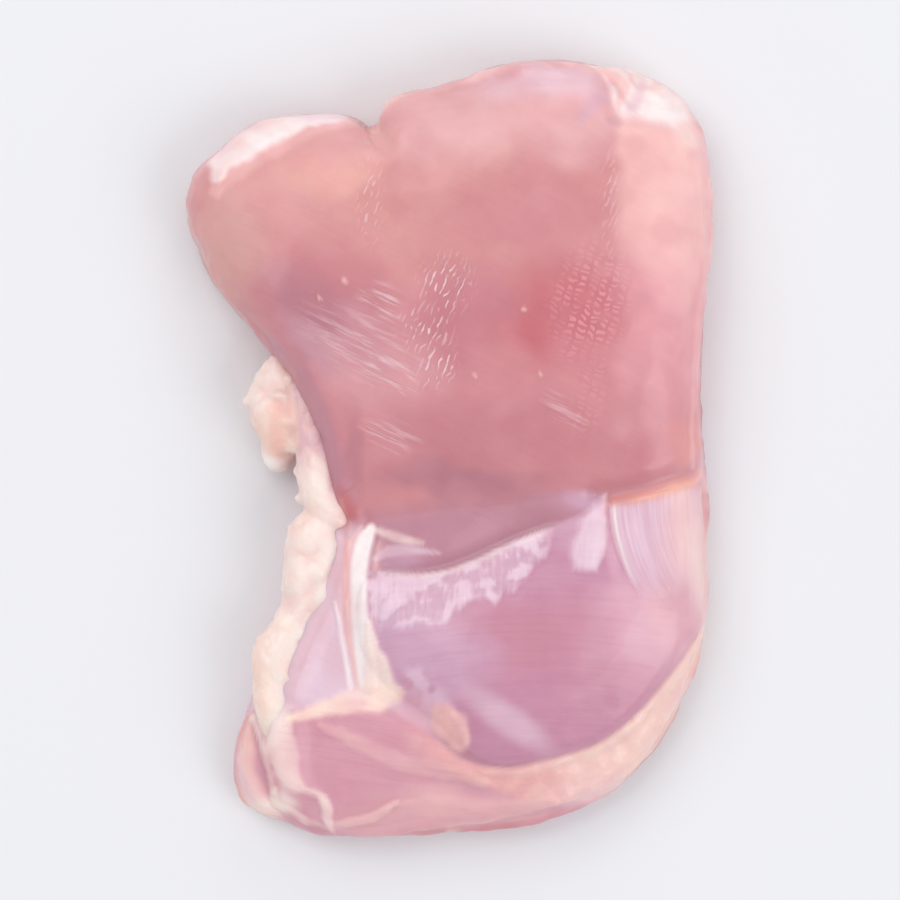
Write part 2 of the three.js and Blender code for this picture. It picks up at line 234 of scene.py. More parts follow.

# Raised strands of fat, tendon and membrane on the upper surface: line as (x, y, half-width),
# height, tone and how strongly the tone covers. Some waver more or less than others, and some
# have a dark line of painted shade in a slight groove beside them, as strong as "outlined" says.
strands = {
    "tendon": {"height": 0.7, "tone": "tendon", "cover": 1.4, "outlined": 0.1, "waver": 0.3, "line": [
        (-13.7, -13.7, 0.9), (-14.6, -15.6, 1.4), (-15.4, -18.6, 1.5), (-15.8, -22.4, 1.5),
        (-15.7, -27, 1.45), (-15.4, -31.5, 1.5), (-14.9, -36, 1.7), (-14.2, -40.5, 1.8),
    ]},
    "tendonFlare": {"height": 0.6, "tone": "warmFat", "cover": 1.2, "line": [
        (-14, -30, 0.5), (-13.4, -34, 1.1), (-12.6, -38, 2), (-12, -41.6, 2.8),
    ]},
    "sheathEdge": {"height": 0.25, "tone": "bright", "cover": 0.8, "line": [
        (-15.2, -13.2, 0.2), (-17.2, -16.4, 0.35), (-17.9, -21, 0.35), (-17.8, -27, 0.3),
        (-17.2, -34, 0.35), (-16, -41, 0.4),
    ]},
    "sheathGroove": {"height": -0.15, "tone": "crease", "cover": 0.55, "line": [
        (-18.8, -8.4, 0.3), (-18.2, -12, 0.45), (-18, -16, 0.35), (-17.9, -21, 0.3),
        (-18, -26, 0.15),
    ]},
    "secondTendon": {"height": 0.3, "tone": "tendon", "cover": 0.75, "line": [
        (-19.9, -26.4, 0.2), (-19.4, -29, 0.35), (-18.7, -33, 0.4), (-18, -37, 0.4),
        (-17.2, -41.6, 0.5),
    ]},
    "topStrand": {"height": 0.25, "tone": "warmFat", "cover": 0.7, "waver": 0.5, "line": [
        (-12.6, -14, 0.5), (-10.4, -14.8, 0.8), (-7.6, -15.6, 0.7), (-4.4, -16.2, 0.2),
    ]},
    "lowerStrand": {"height": 0.2, "tone": "glint", "cover": 0.6, "waver": 0.5, "line": [
        (-12.9, -18.9, 0.5), (-10.8, -17.8, 0.9), (-7.6, -17.4, 0.9), (-4.2, -17.7, 0.5),
        (-1.6, -18, 0.2),
    ]},
    "footStrand": {"height": 0.5, "tone": "warmCream", "cover": 1, "line": [
        (-28, -46.8, 0.8), (-24.5, -45.9, 1.1), (-20.5, -44.8, 1.5), (-16, -43.6, 2.1),
        (-12, -43, 2.6), (-9.8, -42.8, 1.7),
    ]},
    "smallLump": {"height": 0.35, "tone": "outerLobe", "cover": 0.95, "line": [
        (-1, -45.9, 2.1), (-0.3, -47.2, 2.7), (0.8, -48.8, 2.8), (1.6, -50.4, 2),
    ]},
    "smallLumpSide": {"height": 0.2, "tone": "fatPink", "cover": 0.7, "line": [
        (0.6, -45.6, 0.5), (2, -47.4, 0.8), (2.8, -49.2, 0.8), (3, -50.8, 0.5),
    ]},
    "tailFold": {"height": 0.25, "tone": "fatPink", "cover": 0.4, "line": [
        (-22.5, -48, 0.5), (-18.5, -49.8, 1), (-13, -52.4, 1.3), (-6.7, -55, 1.5), (0, -56.4, 1.3),
        (6, -58, 0.8),
    ]},
    "lowFold": {"height": 0.3, "tone": "pale", "cover": 0.6, "line": [
        (-9, -62, 0.4), (-2, -61.2, 0.9), (8, -62.4, 1.2), (18, -61.6, 0.8),
    ]},
    "cordEnd": {"height": 0.8, "tone": "warmFat", "cover": 0.85, "line": [
        (-30, -46.9, 2.4), (-29.4, -52.4, 2.6), (-28.1, -56.9, 1.8), (-25.6, -59.1, 1),
        (-22.8, -60.2, 0.8), (-21.4, -63, 0.8), (-21.7, -66.5, 0.9),
    ]},
    "lowerEdge": {"height": 0.5, "tone": "cream", "cover": 0.75, "outlined": 0.12, "line": [
        (-30.8, -59.7, 0.6), (-30.4, -61.9, 0.6), (-28.3, -63, 0.6), (-26.1, -64.6, 0.7),
        (-22.8, -66.2, 0.7),
    ]},
    "lowerTwig": {"height": 0.5, "tone": "fatPink", "cover": 0.7, "outlined": 0.12, "line": [
        (-21.7, -66, 0.7), (-17.8, -65.2, 0.7), (-13.3, -64.1, 0.7), (-9.4, -61.6, 0.4),
    ]},
    "outerEdge": {"height": 0.5, "tone": "cream", "cover": 0.75, "outlined": 0.2, "line": [
        (-34.4, -46.3, 0.4), (-32.8, -50.8, 0.5), (-31.7, -55.2, 0.5), (-30.8, -59.7, 0.6),
    ]},
    "farFatEdge": {"height": 0.1, "tone": "bright", "cover": 0.6, "line": [
        (-40.6, 45, 1), (-38.6, 49, 2.6), (-34.4, 52.6, 3.2), (-29.5, 55, 3), (-25, 56.6, 2.4),
        (-20, 57.6, 1.8), (-16.6, 57.6, 1.2),
    ]},
    "farFat": {"height": 0.6, "tone": "tendon", "cover": 1.1, "waver": 1.6, "line": [
        (-40.6, 47.2, 1), (-38.6, 50.8, 2.1), (-34.6, 54.2, 2.8), (-29.5, 56.8, 2.3),
        (-25.6, 58, 1.8), (-21, 58.8, 1.6), (-17, 58.2, 1.2),
    ]},
    "farFatTail": {"height": 0.2, "tone": "glint", "cover": 0.8, "line": [
        (-26, 58, 0.5), (-22.4, 58.6, 1.2), (-18.8, 58.6, 1.3), (-16.8, 58, 0.9),
    ]},
    "farRoll": {"height": 0.4, "tone": "bright", "cover": 0.8, "line": [
        (-1, 62.8, 0.5), (4, 65, 0.9), (10, 67.2, 1.2), (16, 68.4, 1.4), (22, 68, 1.5),
        (27, 66.8, 1.3), (30.4, 63.6, 0.9), (29.4, 59.8, 0.5),
    ]},
    "nickRim": {"height": 0.4, "tone": "fatPink", "cover": 0.9, "line": [
        (-12.2, 56, 0.5), (-11.9, 58.6, 0.9), (-10.2, 61.2, 1), (-6.6, 62.8, 0.7),
    ]},
    "rimLine": {"height": 0.1, "tone": "bright", "cover": 0.4, "outlined": 0.05, "line": [
        (44.4, 33, 0.2), (43.4, 22, 0.45), (42.7, 10, 0.5), (42.4, 0, 0.45), (42.4, -3, 0.3),
    ]},
}

# The slab: heights, rounding and how finely it is divided
slab = {
    "valleyLeft": 12, "valleyRight": 15.4, "membraneTop": 11.4, "bandTop": 13, "largeShoulder": 17,
    "smallShoulder": 14, "smallLip": 2.2, "lipShare": 0.25, "corner": 2.5, "rimLevel": 0.36,
    "rimShare": 0.3, "footShare": 0.085, "rimPower": 2.15, "ringShare": 0.94, "rings": 114,
    "sideRows": 20, "footRows": 11, "underRelief": 1.3, "fillet": 1.3, "seamHeight": 4.4,
    "seamWander": 1.9, "seamDepth": 0.6, "seamWidth": 0.75, "sideHeight": 14, "leanLevel": 0.72,
    "lean": 0.0016, "taper": 0.4,
}
largeDome = {"top": 20.5, "at": (2, 28), "fall": (0.0018, 0.0011)}
smallDome = {"top": 18.2, "at": (14, -32), "fall": (0.0026, 0.0035)}
creases = [  # line, depth and half-width
    ("topFold", 1.7, 2.1), ("lip", 1.5, 1.8), ("outerFold", 1.6, 1.7), ("nick", 2.4, 2.2),
]

rim = curveThrough(outline, 40, closed=True)
rim = np.vstack([rim, rim[:1]])
boxMiddle = (rim.min(0) + rim.max(0)) / 2  # the solid's origin lies under this point


# The outline without its nicks, for the rings further in: the waves of the even outline,
# each weakened by exp(-2 (pi softness / wavelength)²)
def softenedRim(softness=7.0, count=1024):
    even = atShares(rim, np.arange(count) / count)
    length = np.linalg.norm(np.diff(rim, axis=0), axis=1).sum()
    waves = np.fft.fft(even[:, 0] + 1j * even[:, 1])
    waves *= np.exp(-2 * (np.pi * softness * np.fft.fftfreq(count) * count / length) ** 2)
    soft = np.fft.ifft(waves)
    soft = np.c_[soft.real, soft.imag]
    return np.vstack([soft, soft[:1]])


softRim = softenedRim()


# Height of a dome: its top less the squares of the distances from its place, times its falls
def domeHeight(dome, x, y):
    fallX, fallY = dome["fall"]
    return dome["top"] - fallX * (x - dome["at"][0]) ** 2 - fallY * (y - dome["at"][1]) ** 2


# Rounded shoulder from 0 to 1 over a width: part quarter circle, part smooth step. With a
# soft foot, the distance d becomes d³ / (d + soft)², counted from three quarters of soft outside.
def shoulder(distance, width, soft=0.0):
    reach = np.maximum(distance + 0.75 * soft, 0)
    reach = reach ** 3 / (reach + soft + 1e-9) ** 2
    t = np.clip(reach / width, 0, 1)
    return 0.55 * np.sqrt(1 - (1 - t) ** 2) + 0.45 * t * t * (3 - 2 * t)


# Silverskin: how deep the sheet hangs below the crest of the small muscle at places across, the
# corners of the smooth patch at its right end, and the bend of the fan of fibres next to that
silverskin = {
    "across": [-13, -10, -6, -2, 2, 4.5, 8, 12, 14, 17, 19],
    "depth": [9.4, 10, 9, 8.6, 6.6, 7.2, 8.4, 7, 6, 3.6, 0],
    "patch": [(27.4, -7.6), (25, -8.8), (22.6, -11.6), (21, -17.6), (21.4, -21), (25.8, -21.2),
              (27.5, -15.8)],
    "fanBend": 0.019, "fanTop": -9,
}


# Strands at the points: the cover of each by name, the height of all and the dark lines of painted shade
# beside them.
# How far a point lies below the upper edge counts as a distance, so that they taper downwards.
def strandsAt(x, y, drop):
    cover, rise, edgeShadeLines = {}, 0, 0
    waver = 0.3 * softNoise(x, y, 0, 1.7, 12) + 0.2 * softNoise(x, y, 0, 4, 13)
    patchy = 0.8 + 0.25 * softNoise(x, y, 0, 2.4, 14)
    for name, strand in strands.items():
        gap, width = nearLine(strand["line"], x, y, 8)
        gap = np.hypot(gap, slab["taper"] * drop) + strand.get("waver", 1) * waver * np.minimum(1, width)
        gap = np.maximum(gap, 0)
        inside = np.clip(1 - (gap / (width + 0.25)) ** 2, 0, 1)
        soft = 0.3 + 0.25 * width
        cover[name] = smooth(width + soft, width - soft, gap) * np.clip(strand["cover"] * patchy, 0, 1)
        rise = rise + strand["height"] * inside ** 0.75 * np.minimum(1, 1.8 / width)
        beside = bell(gap - width - 0.3, 0.4) * smooth(3, 2, width)
        edgeShadeLines = np.maximum(edgeShadeLines, strand.get("outlined", 0) * beside)
    return cover, rise, edgeShadeLines


# Distances from the points to every line, and the zones that follow from them
def zonesAt(x, y, drop):
    near = {name: nearLine(line, x, y, 10)[0] for name, line in edges.items()}
    below = -near["small"]
    fringe = 1.3 * softNoise(x, y * 0.2, 0, 2.1, 1) + 0.7 * softNoise(x, y * 0.12, 0, 0.75, 2)
    sheetEnd = np.interp(x, silverskin["across"], silverskin["depth"]) + fringe
    sheet = smooth(-0.2, 0.5, below) * smooth(-0.9, 1.1, sheetEnd - below)
    sheet *= smooth(0.2, 1.6, near["tendon"]) * smooth(19, 15, x)
    flecks = softNoise(x * 0.62, y, 0, 1.6, 11) + 0.35 * softNoise(x, y * 0.3, 0, 0.55, 16)
    glints = smooth(-0.16, 0.4, flecks + 0.25 * smooth(3.2, 1.2, below))
    fanAcross = x - silverskin["fanBend"] * np.clip(silverskin["fanTop"] - y, 0, 30) ** 2
    fan = smooth(27.4, 28.8, fanAcross) * smooth(1.6, 2.8, -near["lip"])
    fan *= smooth(-28, -17, y + 0.8 * softNoise(x, y * 0.2, 0, 1.6, 15))
    cordBeyond = np.full(x.shape, np.inf)
    for look in fatCords.values():
        gap, width = nearLine([(p[0], p[1], p[3]) for p in look["line"]], x, y, 8)
        cordBeyond = np.minimum(cordBeyond, np.abs(gap) - width)
    cordBeyond = np.maximum(cordBeyond + 0.5, 0)
    patchEdge = insideOf(silverskin["patch"], x, y) + 0.35 * softNoise(x, y, 0, 1.6, 3)
    inBand = smooth(-0.5, 1.2, -near["band"]) * smooth(-0.6, 1.4, near["bandFoot"])
    leftOfTendon = smooth(-0.6, 0.8, -near["tendon"]) * smooth(-0.4, 1.2, near["band"])
    strandCover, strandRise, edgeShadeLines = strandsAt(x, y, drop)
    return {
        "near": near,
        "inSmall": softMin(slab["corner"], below, near["tendon"], near["band"]),
        "silver": sheet * (0.68 + 0.32 * glints),
        "glints": sheet * glints,
        "cordFillet": bell(cordBeyond, 2.2),
        "besideCord": bell(cordBeyond, 1.9) * smooth(-50, -43, y),
        "patch": smooth(-0.5, 1.2, patchEdge),
        "fan": fan,
        "fanAcross": fanAcross,
        "fatty": inBand * smooth(-10, 2, x),
        "membrane": leftOfTendon * smooth(-11, -16, y) * smooth(-7, -11, x),
        "strandCover": strandCover,
        "strandRise": strandRise,
        "edgeShadeLines": edgeShadeLines,
    }


# Height of the upper surface before its side is rounded off: the floor of the valley, membrane
# and band, with the two domes raised from it by their shoulders, gentle waves, and less the creases
def topHeight(x, y, zones):
    near = zones["near"]
    valley = lerp(slab["valleyLeft"], slab["valleyRight"], smooth(-16, 30, x))
    leftOrRight = lerp(slab["membraneTop"], valley, smooth(-4, 2, near["tendon"]))
    floor = lerp(slab["bandTop"], leftOrRight, smooth(-slab["corner"], slab["corner"], near["band"]))
    atTendonFoot = bell(near["tendon"], 4.5) * smooth(-23, -29, y)
    lip = slab["lipShare"] * (1 - 0.85 * atTendonFoot)
    rise = (lip * shoulder(zones["inSmall"], slab["smallLip"])
            + (1 - lip) * shoulder(zones["inSmall"], slab["smallShoulder"]))
    largeRise = shoulder(near["large"], slab["largeShoulder"], 1.6)
    height = floor + (domeHeight(largeDome, x, y) - floor) * largeRise
    height = height + (domeHeight(smallDome, x, y) - floor) * rise
    height = height + 0.35 * np.sin(x / 7.1 + 1.3) * np.sin(y / 9.3 + 0.4)
    height = height + 0.22 * np.sin(x / 3.7 - y / 5.9 + 2.1)
    for name, depth, width in creases:
        height = height - depth * bell(near[name], width)
    return height + fineRelief(x, y, zones)


# What the solid is too coarse for: lips, grooves, sheets, striations and lumps under 1 mm high
def fineRelief(x, y, zones):
    near = zones["near"]
    crestHere = window(x, -13, -10, 15, 20)
    relief = 0.3 * bell(near["small"] + 0.5, 0.65) * crestHere  # pale lip along the crest
    relief -= 0.5 * bell(near["small"] - 0.9, 0.9) * crestHere  # dark line above it
    relief -= 0.35 * bell(near["tendon"] - 3.6, 0.7) * window(y, -34, -28, -17, -13)
    relief += 0.12 * zones["silver"] + 0.12 * zones["glints"] + 0.45 * zones["patch"]
    relief += slab["fillet"] * zones["cordFillet"]
    relief -= 0.5 * bell(zones["fanAcross"] - 27.9, 0.6) * window(y, -23, -17, -9, -7)
    relief += 0.4 * bell(near["band"] + 0.9, 0.9) * smooth(0, 8, x)  # swollen edge of the band of fat
    relief -= 0.35 * bell(near["band"] - 0.4, 0.6) * smooth(4, 12, x)
    striations = softNoise(zones["fanAcross"], y * 0.05, 0, 0.9, 4)
    striations += 0.5 * softNoise(zones["fanAcross"], y * 0.05, 0, 0.5, 5)
    relief += 0.11 * striations * zones["fan"] * smooth(45, 36, x)
    relief += 0.45 * bell(near["lip"] + 1.7, 0.7) * smooth(26, 29, x)  # fold under the large muscle's lip
    relief += (0.45 * softNoise(x, y, 0, 4.6, 6) + 0.2 * softNoise(x, y, 0, 2.2, 7)) * zones["fatty"]
    relief += 0.3 * zones["fatty"]
    relief += 0.5 * smooth(0.6, 2.2, near["topFold"]) * (1 + 0.6 * softNoise(x, y, 0, 3, 8))
    relief += 0.28 * softNoise(x, y, 0, 9, 9) + 0.08 * softNoise(x, y, 0, 3.4, 10)
    for at, size in beads:
        relief += 0.35 * spot(x, y, at, (size, size))
    return relief + zones["strandRise"] - 0.3 * zones["edgeShadeLines"]


# Small wet beads on the large muscle, raised and painted bright as highlights: place and radius
beads = [
    ((-18.1, 29.3), 0.6), ((-22.4, 26.3), 0.45), ((13, 24.4), 0.5), ((15.8, 13.2), 0.45),
    ((4.5, 12.9), 0.45),
]


# Share of the height that is left at a share of the way out: 1 on the slab, then the rounded side
def rimFall(share):
    out = np.clip((share - 1 + slab["rimShare"]) / slab["rimShare"], 0, 1)
    rise = (1 - out ** slab["rimPower"]) ** (1 / slab["rimPower"])
    return slab["rimLevel"] + (1 - slab["rimLevel"]) * rise


palette = {
    "warmPink": (224, 160, 153), "peach": (236, 174, 162), "rose": (214, 145, 149),
    "deepRose": (203, 129, 138), "red": (203, 108, 117), "mauve": (187, 127, 139),
    "shadeMauve": (193, 143, 155), "pale": (238, 188, 187), "palePink": (237, 171, 176),
    "bright": (252, 202, 197), "lilac": (215, 174, 196), "violet": (205, 146, 170),
    "paleLilac": (235, 206, 219), "silver": (219, 181, 199), "valley": (197, 141, 156),
    "shadeOlive": (220, 168, 161), "cream": (253, 230, 219), "fatPink": (251, 209, 202),
    "salmon": (238, 181, 179), "tail": (219, 160, 173), "crease": (229, 158, 150),
    "brown": (150, 84, 88), "under": (216, 158, 160), "lipHighlight": (250, 190, 168),
    "tendon": (255, 241, 238), "seam": (196, 112, 116), "lobe": (252, 204, 190),
    "core": (208, 146, 163), "streakBase": (224, 168, 174), "flush": (222, 143, 150),
    "pinkLilac": (231, 182, 196), "outerLobe": (245, 194, 186), "glint": (244, 218, 230),
    "warmCream": (255, 223, 209), "whiteFat": (255, 247, 243), "warmFat": (255, 231, 222),
    "veil": (226, 184, 192),
}

# Soft spots of tone on the meat, in the groups in which they are laid: tone, strength, place,
# half-sizes and turn in degrees. They waver with the noise, apart from those marked as crisp.
spots = {
    "large": [
        ("warmPink", 0.4, (6, 42), (34, 18), 0), ("deepRose", 0.85, (3, 24), (10, 9), 0),
        ("warmPink", 0.75, (-25, 43), (22, 15), 0), ("rose", 0.35, (-27, 40), (9, 6), 0),
        ("peach", 0.6, (-20, 48), (10, 6), 15), ("pale", 0.7, (8, 59), (38, 9), 3),
        # Partly painted light: the pale pink band down the right side at (40, 26) and the bright spot at
        # (42, 46), where the edge is lit
        ("paleLilac", 0.6, (18, 64.5), (12, 3.2), 3), ("palePink", 0.85, (40, 26), (8, 40), 2),
        ("bright", 0.8, (42, 46), (9, 22), 0), ("rose", 0.8, (12, 42), (17, 7), 5),
        ("rose", 0.6, (20, 38), (12, 10), 0), ("red", 0.85, (17.5, 23.5), (10, 11), 0),
        ("flush", 0.4, (25, 22), (8, 13), -8), ("palePink", 0.6, (31.5, 22), (3.4, 11), 0),
        ("pale", 0.5, (22, 54), (8, 4.5), 0), ("deepRose", 0.6, (-22, 28), (18, 9), -28),
        # Painted shade: the mauve and darker spots at (-24, 24) and (-24, 19), where the muscle falls away
        # towards the strand
        ("mauve", 0.85, (-24, 24), (15, 6), -30), ("shadeMauve", 1, (-24, 19), (9, 4.5), -32),
        ("streakBase", 0.5, (-11, 13), (12, 11), -28), ("deepRose", 0.55, (4, 1), (28, 10), 0),
        # Painted shade: the olive spot on the rounded left edge, on its side away from the light
        ("shadeOlive", 0.8, (-40, 36), (6, 14), 12), ("deepRose", 0.5, (36, 3), (9, 12), 0),
        ("mauve", 0.85, (3, -5.5), (16, 4), 0), ("palePink", 0.15, (-12, 1), (8, 7), 0),
        # Painted shade: the mauve strip at (-18, -2) along the muscle's edge beside the strand
        ("mauve", 0.5, (-18, -2), (2.5, 12), 0),
    ],
    "valley": [
        # The seam-toned spot at (-16.6, -11.6) is painted shade by the strand's tip
        ("mauve", 0.4, (15, -12), (10, 5), -15), ("seam", 0.5, (-16.6, -11.6), (3.6, 3), -30, "crisp"),
    ],
    "valleyEdge": [("lilac", 0.2, (22, -9.5), (7, 2), 10)],
    "small": [
        ("core", 0.85, (15, -32), (17, 8), -5), ("lilac", 0.85, (-5, -35), (14, 8), -12),
        ("pinkLilac", 0.85, (34, -31), (11, 12), 0), ("pale", 0.4, (40, -30), (6, 9), 0),
        ("lilac", 0.45, (22, -12), (4.5, 5), 0),
        # The pale lilac band at (10.5, -47) is a painted sheen
        ("paleLilac", 0.6, (10.5, -47), (9.5, 3), -34, "crisp"), ("core", 0.6, (27, -43), (13, 7), 30),
    ],
    "smallMist": [("paleLilac", 0.6, (-5.6, -42.6), (5.5, 3.6), -30)],
    "smallFoot": [("pinkLilac", 0.85, (-6.6, -46), (6.5, 3.6), -40, "crisp")],
    "tail": [("pale", 0.6, (2, -64), (26, 5), 0), ("pale", 0.6, (-4, -60), (6, 3), 0)],
    "outerLobe": [
        ("fatPink", 0.85, (-36, -56), (4.6, 10), 15), ("cream", 0.9, (-30.6, -61.6), (4.8, 3.4), -15),
    ],
    "membrane": [("veil", 0.5, (-21, -35), (3, 6), 0)],
    "besideTendon": [
        ("veil", 0.8, (-19.4, -21), (1.9, 9), 4, "crisp"),
        ("fatPink", 0.6, (-17.2, -23), (0.9, 9), 2, "crisp"),
        ("lilac", 0.5, (-8.5, -19.4), (4.5, 1.4), 4, "crisp"),
    ],
    "fanEdge": [("cream", 0.75, (45, -18), (3.4, 14), 0, "crisp")],
    "besideFan": [
        ("pinkLilac", 0.6, (28.2, -16), (1.5, 8), 8, "crisp"),
        ("lilac", 0.6, (23.5, -8.6), (4, 1.8), -10, "crisp"),
    ],
    "lip": [("crease", 0.5, (42, 0), (2.4, 6), 0)],
    "topFold": [
        ("whiteFat", 0.95, (37.6, 61.6), (7.5, 4.5), -25, "crisp"),
        ("paleLilac", 0.6, (31.4, 61.4), (1.2, 3.6), -25),
        ("lilac", 0.5, (24.6, 60.4), (2.2, 3.4), -10),
        # The mauve spot at (28.7, 57.2) is a painted shadow at the junction of the fold
        ("shadeMauve", 0.4, (28.7, 57.2), (1.8, 1.2), -10, "crisp"), ("cream", 0.6, (41, 53.4), (3.4, 3), 0),
    ],
    "nick": [
        ("crease", 0.75, (-14.2, 57), (2.4, 2.6), 0, "crisp"),
        ("brown", 0.85, (-15.6, 57.7), (0.45, 1.7), 0, "crisp"),
        ("brown", 0.85, (-14.7, 57.1), (0.45, 1.7), 0, "crisp"),
        ("brown", 0.85, (-13.8, 56.9), (0.45, 1.7), 0, "crisp"),
        ("brown", 0.85, (-12.9, 57.7), (0.45, 1.7), 0, "crisp"),
    ],
    # Painted shade by the tip of the strand
    "cordTipShade": [("seam", 0.7, (-17.8, -9.4), (1.5, 4), 25, "crisp")],
}


# Tones of the surface. Each zone's tone is laid over the ones before it: the paint moves towards
# the tone by the mask, from 0 to 1.
def paintOf(x, y, height, zones, under, seam):
    near = zones["near"]
    warpX = x + 2.6 * softNoise(x, y, height, 9, 21) + 1.0 * softNoise(x, y, height, 3.5, 22)
    warpY = y + 2.6 * softNoise(x, y, height, 9, 23) + 1.0 * softNoise(x, y, height, 3.5, 24)
    paint = np.tile(linear(palette["rose"]), (len(x), 1))

    def lay(mask, tone):
        paint[:] = lerp(paint, linear(palette[tone]), np.clip(mask, 0, 1)[:, None])

    def laySpots(group, mask=1):
        for tone, strength, at, size, turn, *crisp in spots[group]:
            place = (x, y) if crisp else (warpX, warpY)
            lay(mask * strength * spot(*place, at, size, turn), tone)

    # The large muscle and the valley below it
    laySpots("large")
    lay(0.7 * smooth(27.8, 31, x + 0.8 * softNoise(x, y, 0, 3, 51)) * smooth(28, 44, warpY), "bright")
    lay(0.18 * smooth(-0.1, 0.8, softNoise(x, y, height, 4.2, 27)), "deepRose")
    lay(0.18 * smooth(-0.1, 0.8, softNoise(x, y, height, 5.3, 29)), "palePink")
    lay(smooth(2.2, -3, near["large"] + 0.8 * softNoise(x, y, 0, 5, 25)), "valley")
    laySpots("valley")
    laySpots("valleyEdge", smooth(1, -1, near["large"]))

    # The small muscle
    small = smooth(-0.3, 0.7, zones["inSmall"])
    lay(small, "violet")
    laySpots("small", small)
    laySpots("smallMist", smooth(-0.3, 0.3, softNoise(x, y, 0, 1.7, 53)))
    laySpots("smallFoot")

    # The tail, its band of fat and the lobe outside the cord
    lower = smooth(0.4, -0.8, near["band"])
    lay(lower, "tail")
    laySpots("tail", lower)
    lay(zones["fatty"], "salmon")
    lay(zones["fatty"] * smooth(10, 24, warpX), "fatPink")
    lay(0.6 * zones["fatty"] * smooth(20, 32, warpX), "warmCream")
    lay(0.6 * bell(near["band"] + 1.1, 0.9) * smooth(6, 20, x), "warmCream")
    lay(zones["fatty"] * 0.35 * smooth(0.1, 0.6, softNoise(x, y, height, 3.2, 26)), "warmCream")
    lay(smooth(-31, -33.5, warpX) * smooth(-40, -46, warpY), "outerLobe")
    laySpots("outerLobe")

    # The membrane, what lies beside the tendon, and the silverskin
    lay(0.95 * zones["membrane"], "paleLilac")
    laySpots("membrane", zones["membrane"])
    laySpots("besideTendon")
    lay(0.8 * bell(near["tendon"] + 1.9, 0.8) * window(y, -44, -36, -17, -13), "pale")
    lay(0.75 * bell(near["tendon"] - 3.4, 0.7) * window(y, -33, -27, -18, -14), "pale")
    lay(0.95 * zones["silver"], "silver")
    lay(0.58 * zones["glints"], "glint")
    lay(0.6 * bell(near["small"] + 0.5, 0.5) * window(x, -13, -10, 14, 20), "tendon")
    lay(zones["patch"] * (0.75 + 0.25 * smooth(22, 26, x)), "paleLilac")
    lay(0.8 * zones["patch"] * smooth(24.6, 27.4, x), "glint")
    lay(0.9 * zones["patch"] * bell(x - 27.2, 0.5), "tendon")

    # The fan of fibres, and the lip of the large muscle whose tones fade down the side
    lay(0.85 * zones["fan"], "paleLilac")
    lay(0.8 * zones["fan"] * smooth(34, 42, x), "fatPink")
    laySpots("fanEdge", smooth(-2, -4, near["lip"]))
    laySpots("besideFan")
    lay(0.7 * bell(zones["fanAcross"] - 28.7, 0.4) * window(y, -25, -19, -10, -8), "whiteFat")
    upHere = smooth(3.5, 9, height)
    # Painted shade in the crease under the lip, and a painted highlight on the fold just below it
    lay(0.85 * bell(near["lip"] + 1.3, 1.2) * smooth(26, 29, x) * upHere, "crease")
    lay(0.8 * bell(near["lip"] + 2, 0.7) * smooth(29, 34, x) * upHere, "lipHighlight")
    laySpots("lip")

    # The fold at the far right corner, the nick, the strands and the beads
    folded = near["topFold"] + 1.3 + 0.9 * softNoise(x, y, height, 3.1, 50)
    lay(smooth(-0.6 * smooth(32, 37, x), 2.2, folded), "tendon")
    lay(0.4 * smooth(-0.1, 0.7, softNoise(x, y, height, 3.4, 28)) * smooth(1, 2.4, folded), "fatPink")
    laySpots("topFold")
    foldLine = near["topFold"] - 4.6 - 0.5 * softNoise(x, y, height, 2.6, 52)
    lay(0.5 * bell(foldLine, 0.5) * smooth(29, 32, x), "pale")
    laySpots("nick")
    # Painted shade beside the cord and strand, and by the strand's tip
    lay(0.75 * zones["besideCord"] * smooth(-12, -4, y), "valley")
    laySpots("cordTipShade")
    lay(0.6 * zones["besideCord"] * smooth(-12, -18, y), "veil")
    # Painted shade in the grooves beside some strands
    lay(zones["edgeShadeLines"], "seam")
    for name, cover in zones["strandCover"].items():
        lay(cover, strands[name]["tone"])
    # Painted highlights on the wet beads
    for at, size in beads:
        lay(0.6 * spot(x, y, at, (size, size)), "bright")

    # The side, with patches that lean, and the underside with its muscle seams
    down = seam["side"] * smooth(15, 4, height) * (1 - under) * (1 - zones["membrane"])
    lay(0.5 * down * (1 - lower), "pale")
    leanX, leanY = x + 0.9 * height, y + 0.9 * height
    patches = smooth(-0.1, 0.6, softNoise(leanX, leanY, height * 1.5, 7, 34))
    lay(0.5 * down * (1 - zones["fatty"]) * patches, "rose")
    lay(0.5 * down * smooth(0.0, 0.7, softNoise(leanX, leanY, height, 6.5, 35)), "paleLilac")
    lay(0.5 * seam["groove"], "deepRose")
    lay(0.35 * seam["fat"], "cream")
    lay(under, "under")
    lay(0.6 * under * smooth(0, 0.6, softNoise(x, y, 0, 15, 36)), "deepRose")
    lay(0.45 * under * smooth(0.1, 0.6, softNoise(x * 0.7, y, 0, 11, 37)), "paleLilac")
    fatHere = smooth(-0.05, 0.4, softNoise(x, y, 0, 8, 39) + 0.3 * softNoise(x, y, 0, 2.4, 40))
    lay(0.75 * seam["under"] * fatHere, "warmCream")
    lay(0.35 * seam["under"] * (1 - fatHere), "paleLilac")
    return paint


# Corners of triangles between two closed rows of the same count
def bridge(upper, lower, count):
    i = np.arange(count)
    j = (i + 1) % count
    return np.r_[np.c_[upper + i, lower + i, upper + j], np.c_[lower + i, lower + j, upper + j]]


